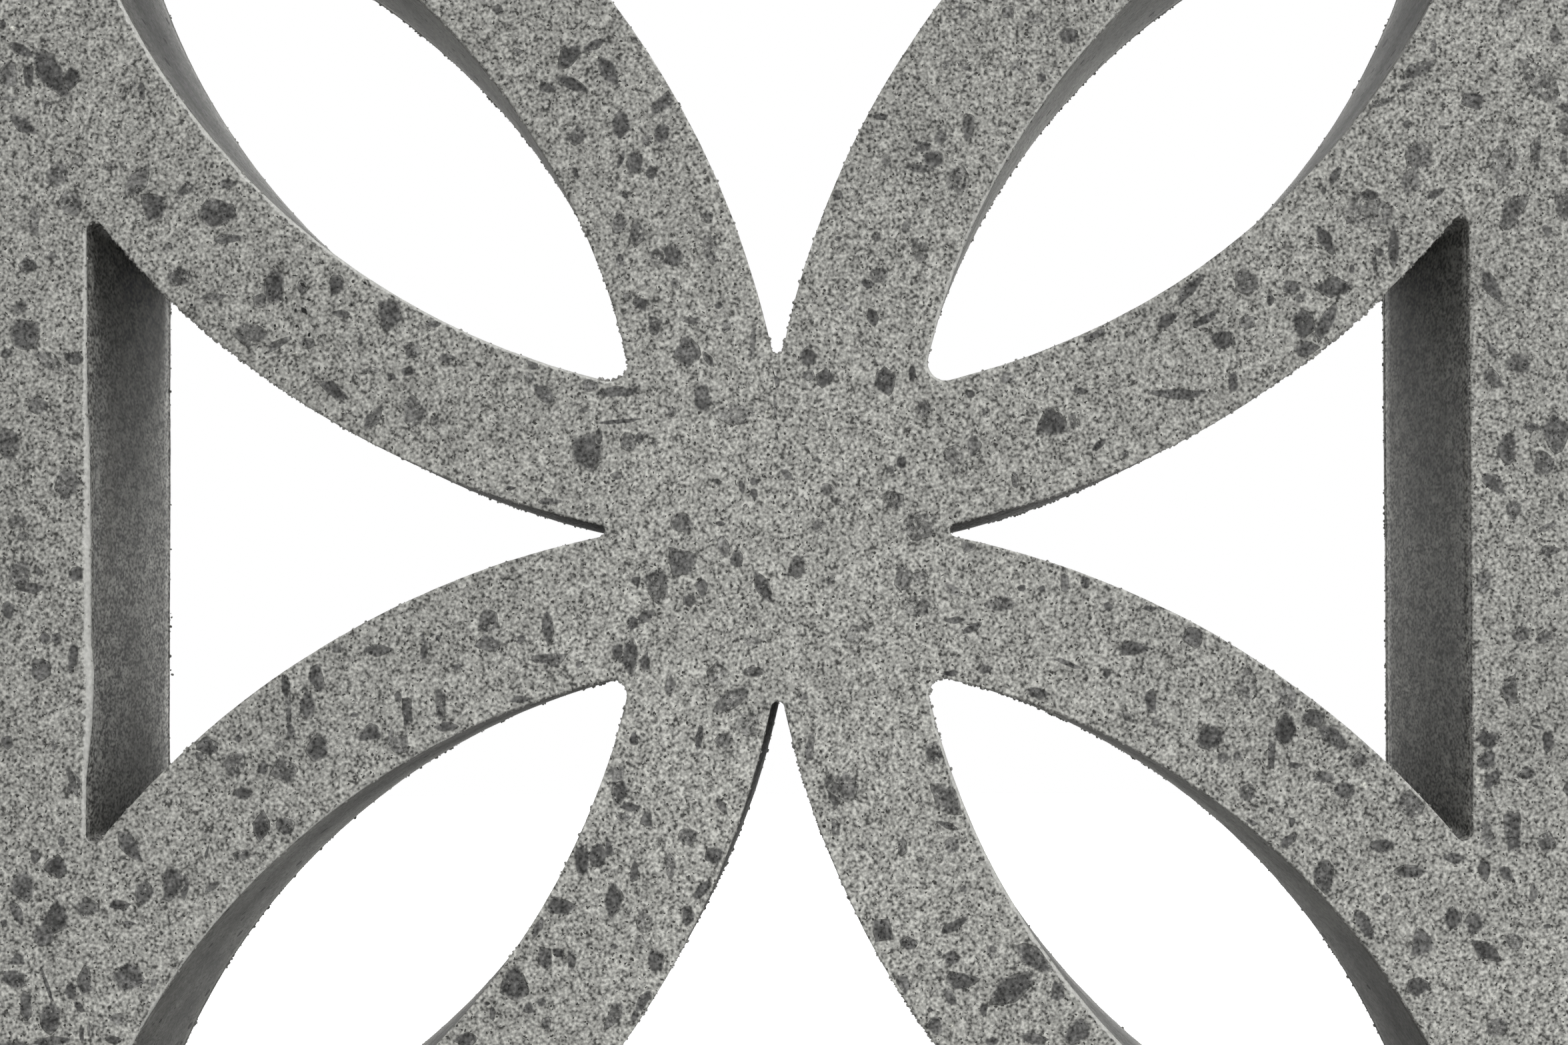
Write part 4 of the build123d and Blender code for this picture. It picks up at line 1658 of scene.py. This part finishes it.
@dataclass(frozen=True)
class Lamp:
    """A square soft lamp that looks at the block's middle.

    Its level is the light that it throws on a surface facing it, where 1 shows a colour as it is written. Its
    place is from the block's middle, and its size is its side, both in metres.
    """

    name: str
    level: float
    place: Triple
    size: float

    def hang(self) -> None:
        """Puts the lamp in the scene."""
        data = bpy.data.lights.new(self.name, "AREA")
        data.shape, data.size = "SQUARE", self.size
        away = Vector(self.place)
        data.energy = self.level * math.pi ** 2 * away.length_squared
        lamp = bpy.data.objects.new(self.name, data)
        middle = (cad_low + cad_high) / 2
        turn = away.to_track_quat("Z", "Y").to_matrix().to_4x4()
        lamp.matrix_world = Matrix.Translation(middle + away) @ turn
        bpy.context.scene.collection.objects.link(lamp)


LAMPS = (
    Lamp("overhead_lamp", 0.67, (0.0, 0.0, 1.5), 1.2),
    Lamp("front_lamp", 0.30, (0.0, -1.6, 0.25), 1.0),
    Lamp("high_front_lamp", 0.10, (0.0, -1.0, 1.2), 1.0),
    Lamp("high_back_lamp", 0.25, (0.0, 1.0, 1.2), 1.0),
    Lamp("right_front_lamp", 0.27, (1.2, -1.0, 0.35), 0.8),
    Lamp("right_back_lamp", 0.38, (1.2, 1.0, 0.35), 0.8),
    Lamp("left_back_lamp", 0.14, (-1.2, 1.0, 0.35), 0.8),
    Lamp("back_lamp", 0.48, (0.0, 1.6, 0.25), 1.0),
)


@dataclass
class Studio:
    """The plain floor, the soft lamps and the white surround. Lengths are in metres."""

    camera: PhotoCamera
    lamps: tuple[Lamp, ...] = LAMPS
    floor_radius: float = 2.5
    floor_sides: int = 96
    floor_albedo: float = 0.32
    floor_specular: float = 0.25
    floor_glow: Pair = (0.72, 1.1)
    glow_reach: Pair = (0.5, 1.6)
    surround: float = 0.27

    def seen(self, bench: Bench) -> Socket:
        """1 for a ray from the camera, or through or off gloss, and 0 for the light itself."""
        path = bench.add("LightPath").outputs
        mirrored = bench.math("MAXIMUM", path["Is Glossy Ray"], path["Is Transmission Ray"])
        return bench.math("MAXIMUM", path["Is Camera Ray"], mirrored)

    def world(self) -> None:
        """A dim even surround that the camera sees as white."""
        world = bpy.data.worlds.new("white_surround")
        bpy.context.scene.world = world
        world.use_nodes = True
        bench = Bench(world.node_tree)
        background = world.node_tree.nodes["Background"]
        background.inputs["Color"].default_value = (1, 1, 1, 1)
        bench.feed(background.inputs["Strength"], bench.span(self.seen(bench), 0, 1, self.surround, 1.0))

    def floor(self) -> None:
        """A round pale floor under the block, white to the camera but for the block's soft shadow."""
        bm = bmesh.new()
        bmesh.ops.create_circle(bm, cap_ends=True, segments=self.floor_sides, radius=self.floor_radius)
        mesh = bpy.data.meshes.new("floor")
        bm.to_mesh(mesh)
        bm.free()
        material, bench, shader = new_material("pale_floor")
        shader.inputs["Base Color"].default_value = (self.floor_albedo,) * 3 + (1,)
        shader.inputs["Roughness"].default_value = 1.0
        shader.inputs["Specular IOR Level"].default_value = self.floor_specular
        shader.inputs["Emission Color"].default_value = (1, 1, 1, 1)
        glow = bench.span(bench.length(bench.place()), *self.glow_reach, *self.floor_glow)
        bench.feed(shader.inputs["Emission Strength"], bench.times(self.seen(bench), glow))
        mesh.materials.append(material)
        floor = bpy.data.objects.new("floor", mesh)
        bpy.context.scene.collection.objects.link(floor)

    def build(self) -> None:
        """Sets the whole stage and the plain view settings."""
        bpy.context.scene.view_settings.view_transform = "Standard"
        self.camera.place()
        self.world()
        self.floor()
        for lamp in self.lamps:
            lamp.hang()


def main() -> None:
    """Builds the block's pieces in order and sets them on the stage."""
    logging.basicConfig(level=logging.INFO, format="%(name)s: %(message)s")
    Studio(CAMERA).build()
    groups = {"sand": SandMix().build(), "holes": AirHoles().build()}
    pattern = Pattern()
    casting = Casting(pattern, {finish: concrete.make(groups) for finish, concrete in FINISHES.items()})
    casting.plate(Face.FRONT, "front_ground_face")
    casting.plate(Face.BACK, "back_ground_face")
    casting.walls("cast_walls")
    stone_materials = {show: stone.make(groups, GROUND) for show, stone in STONE_FINISHES.items()}
    stones = ExposedStones(pattern, CAMERA, stone_materials)
    stones.build(Face.FRONT, "front_exposed_stones")
    stones.build(Face.BACK, "back_exposed_stones")
    crumbs = ArrisCrumbs(casting, CRUMB.make(groups), CAMERA)
    crumbs.build(Face.FRONT, "front_arris_crumbs")
    crumbs.build(Face.BACK, "back_arris_crumbs")


if __name__ == "__main__":
    main()
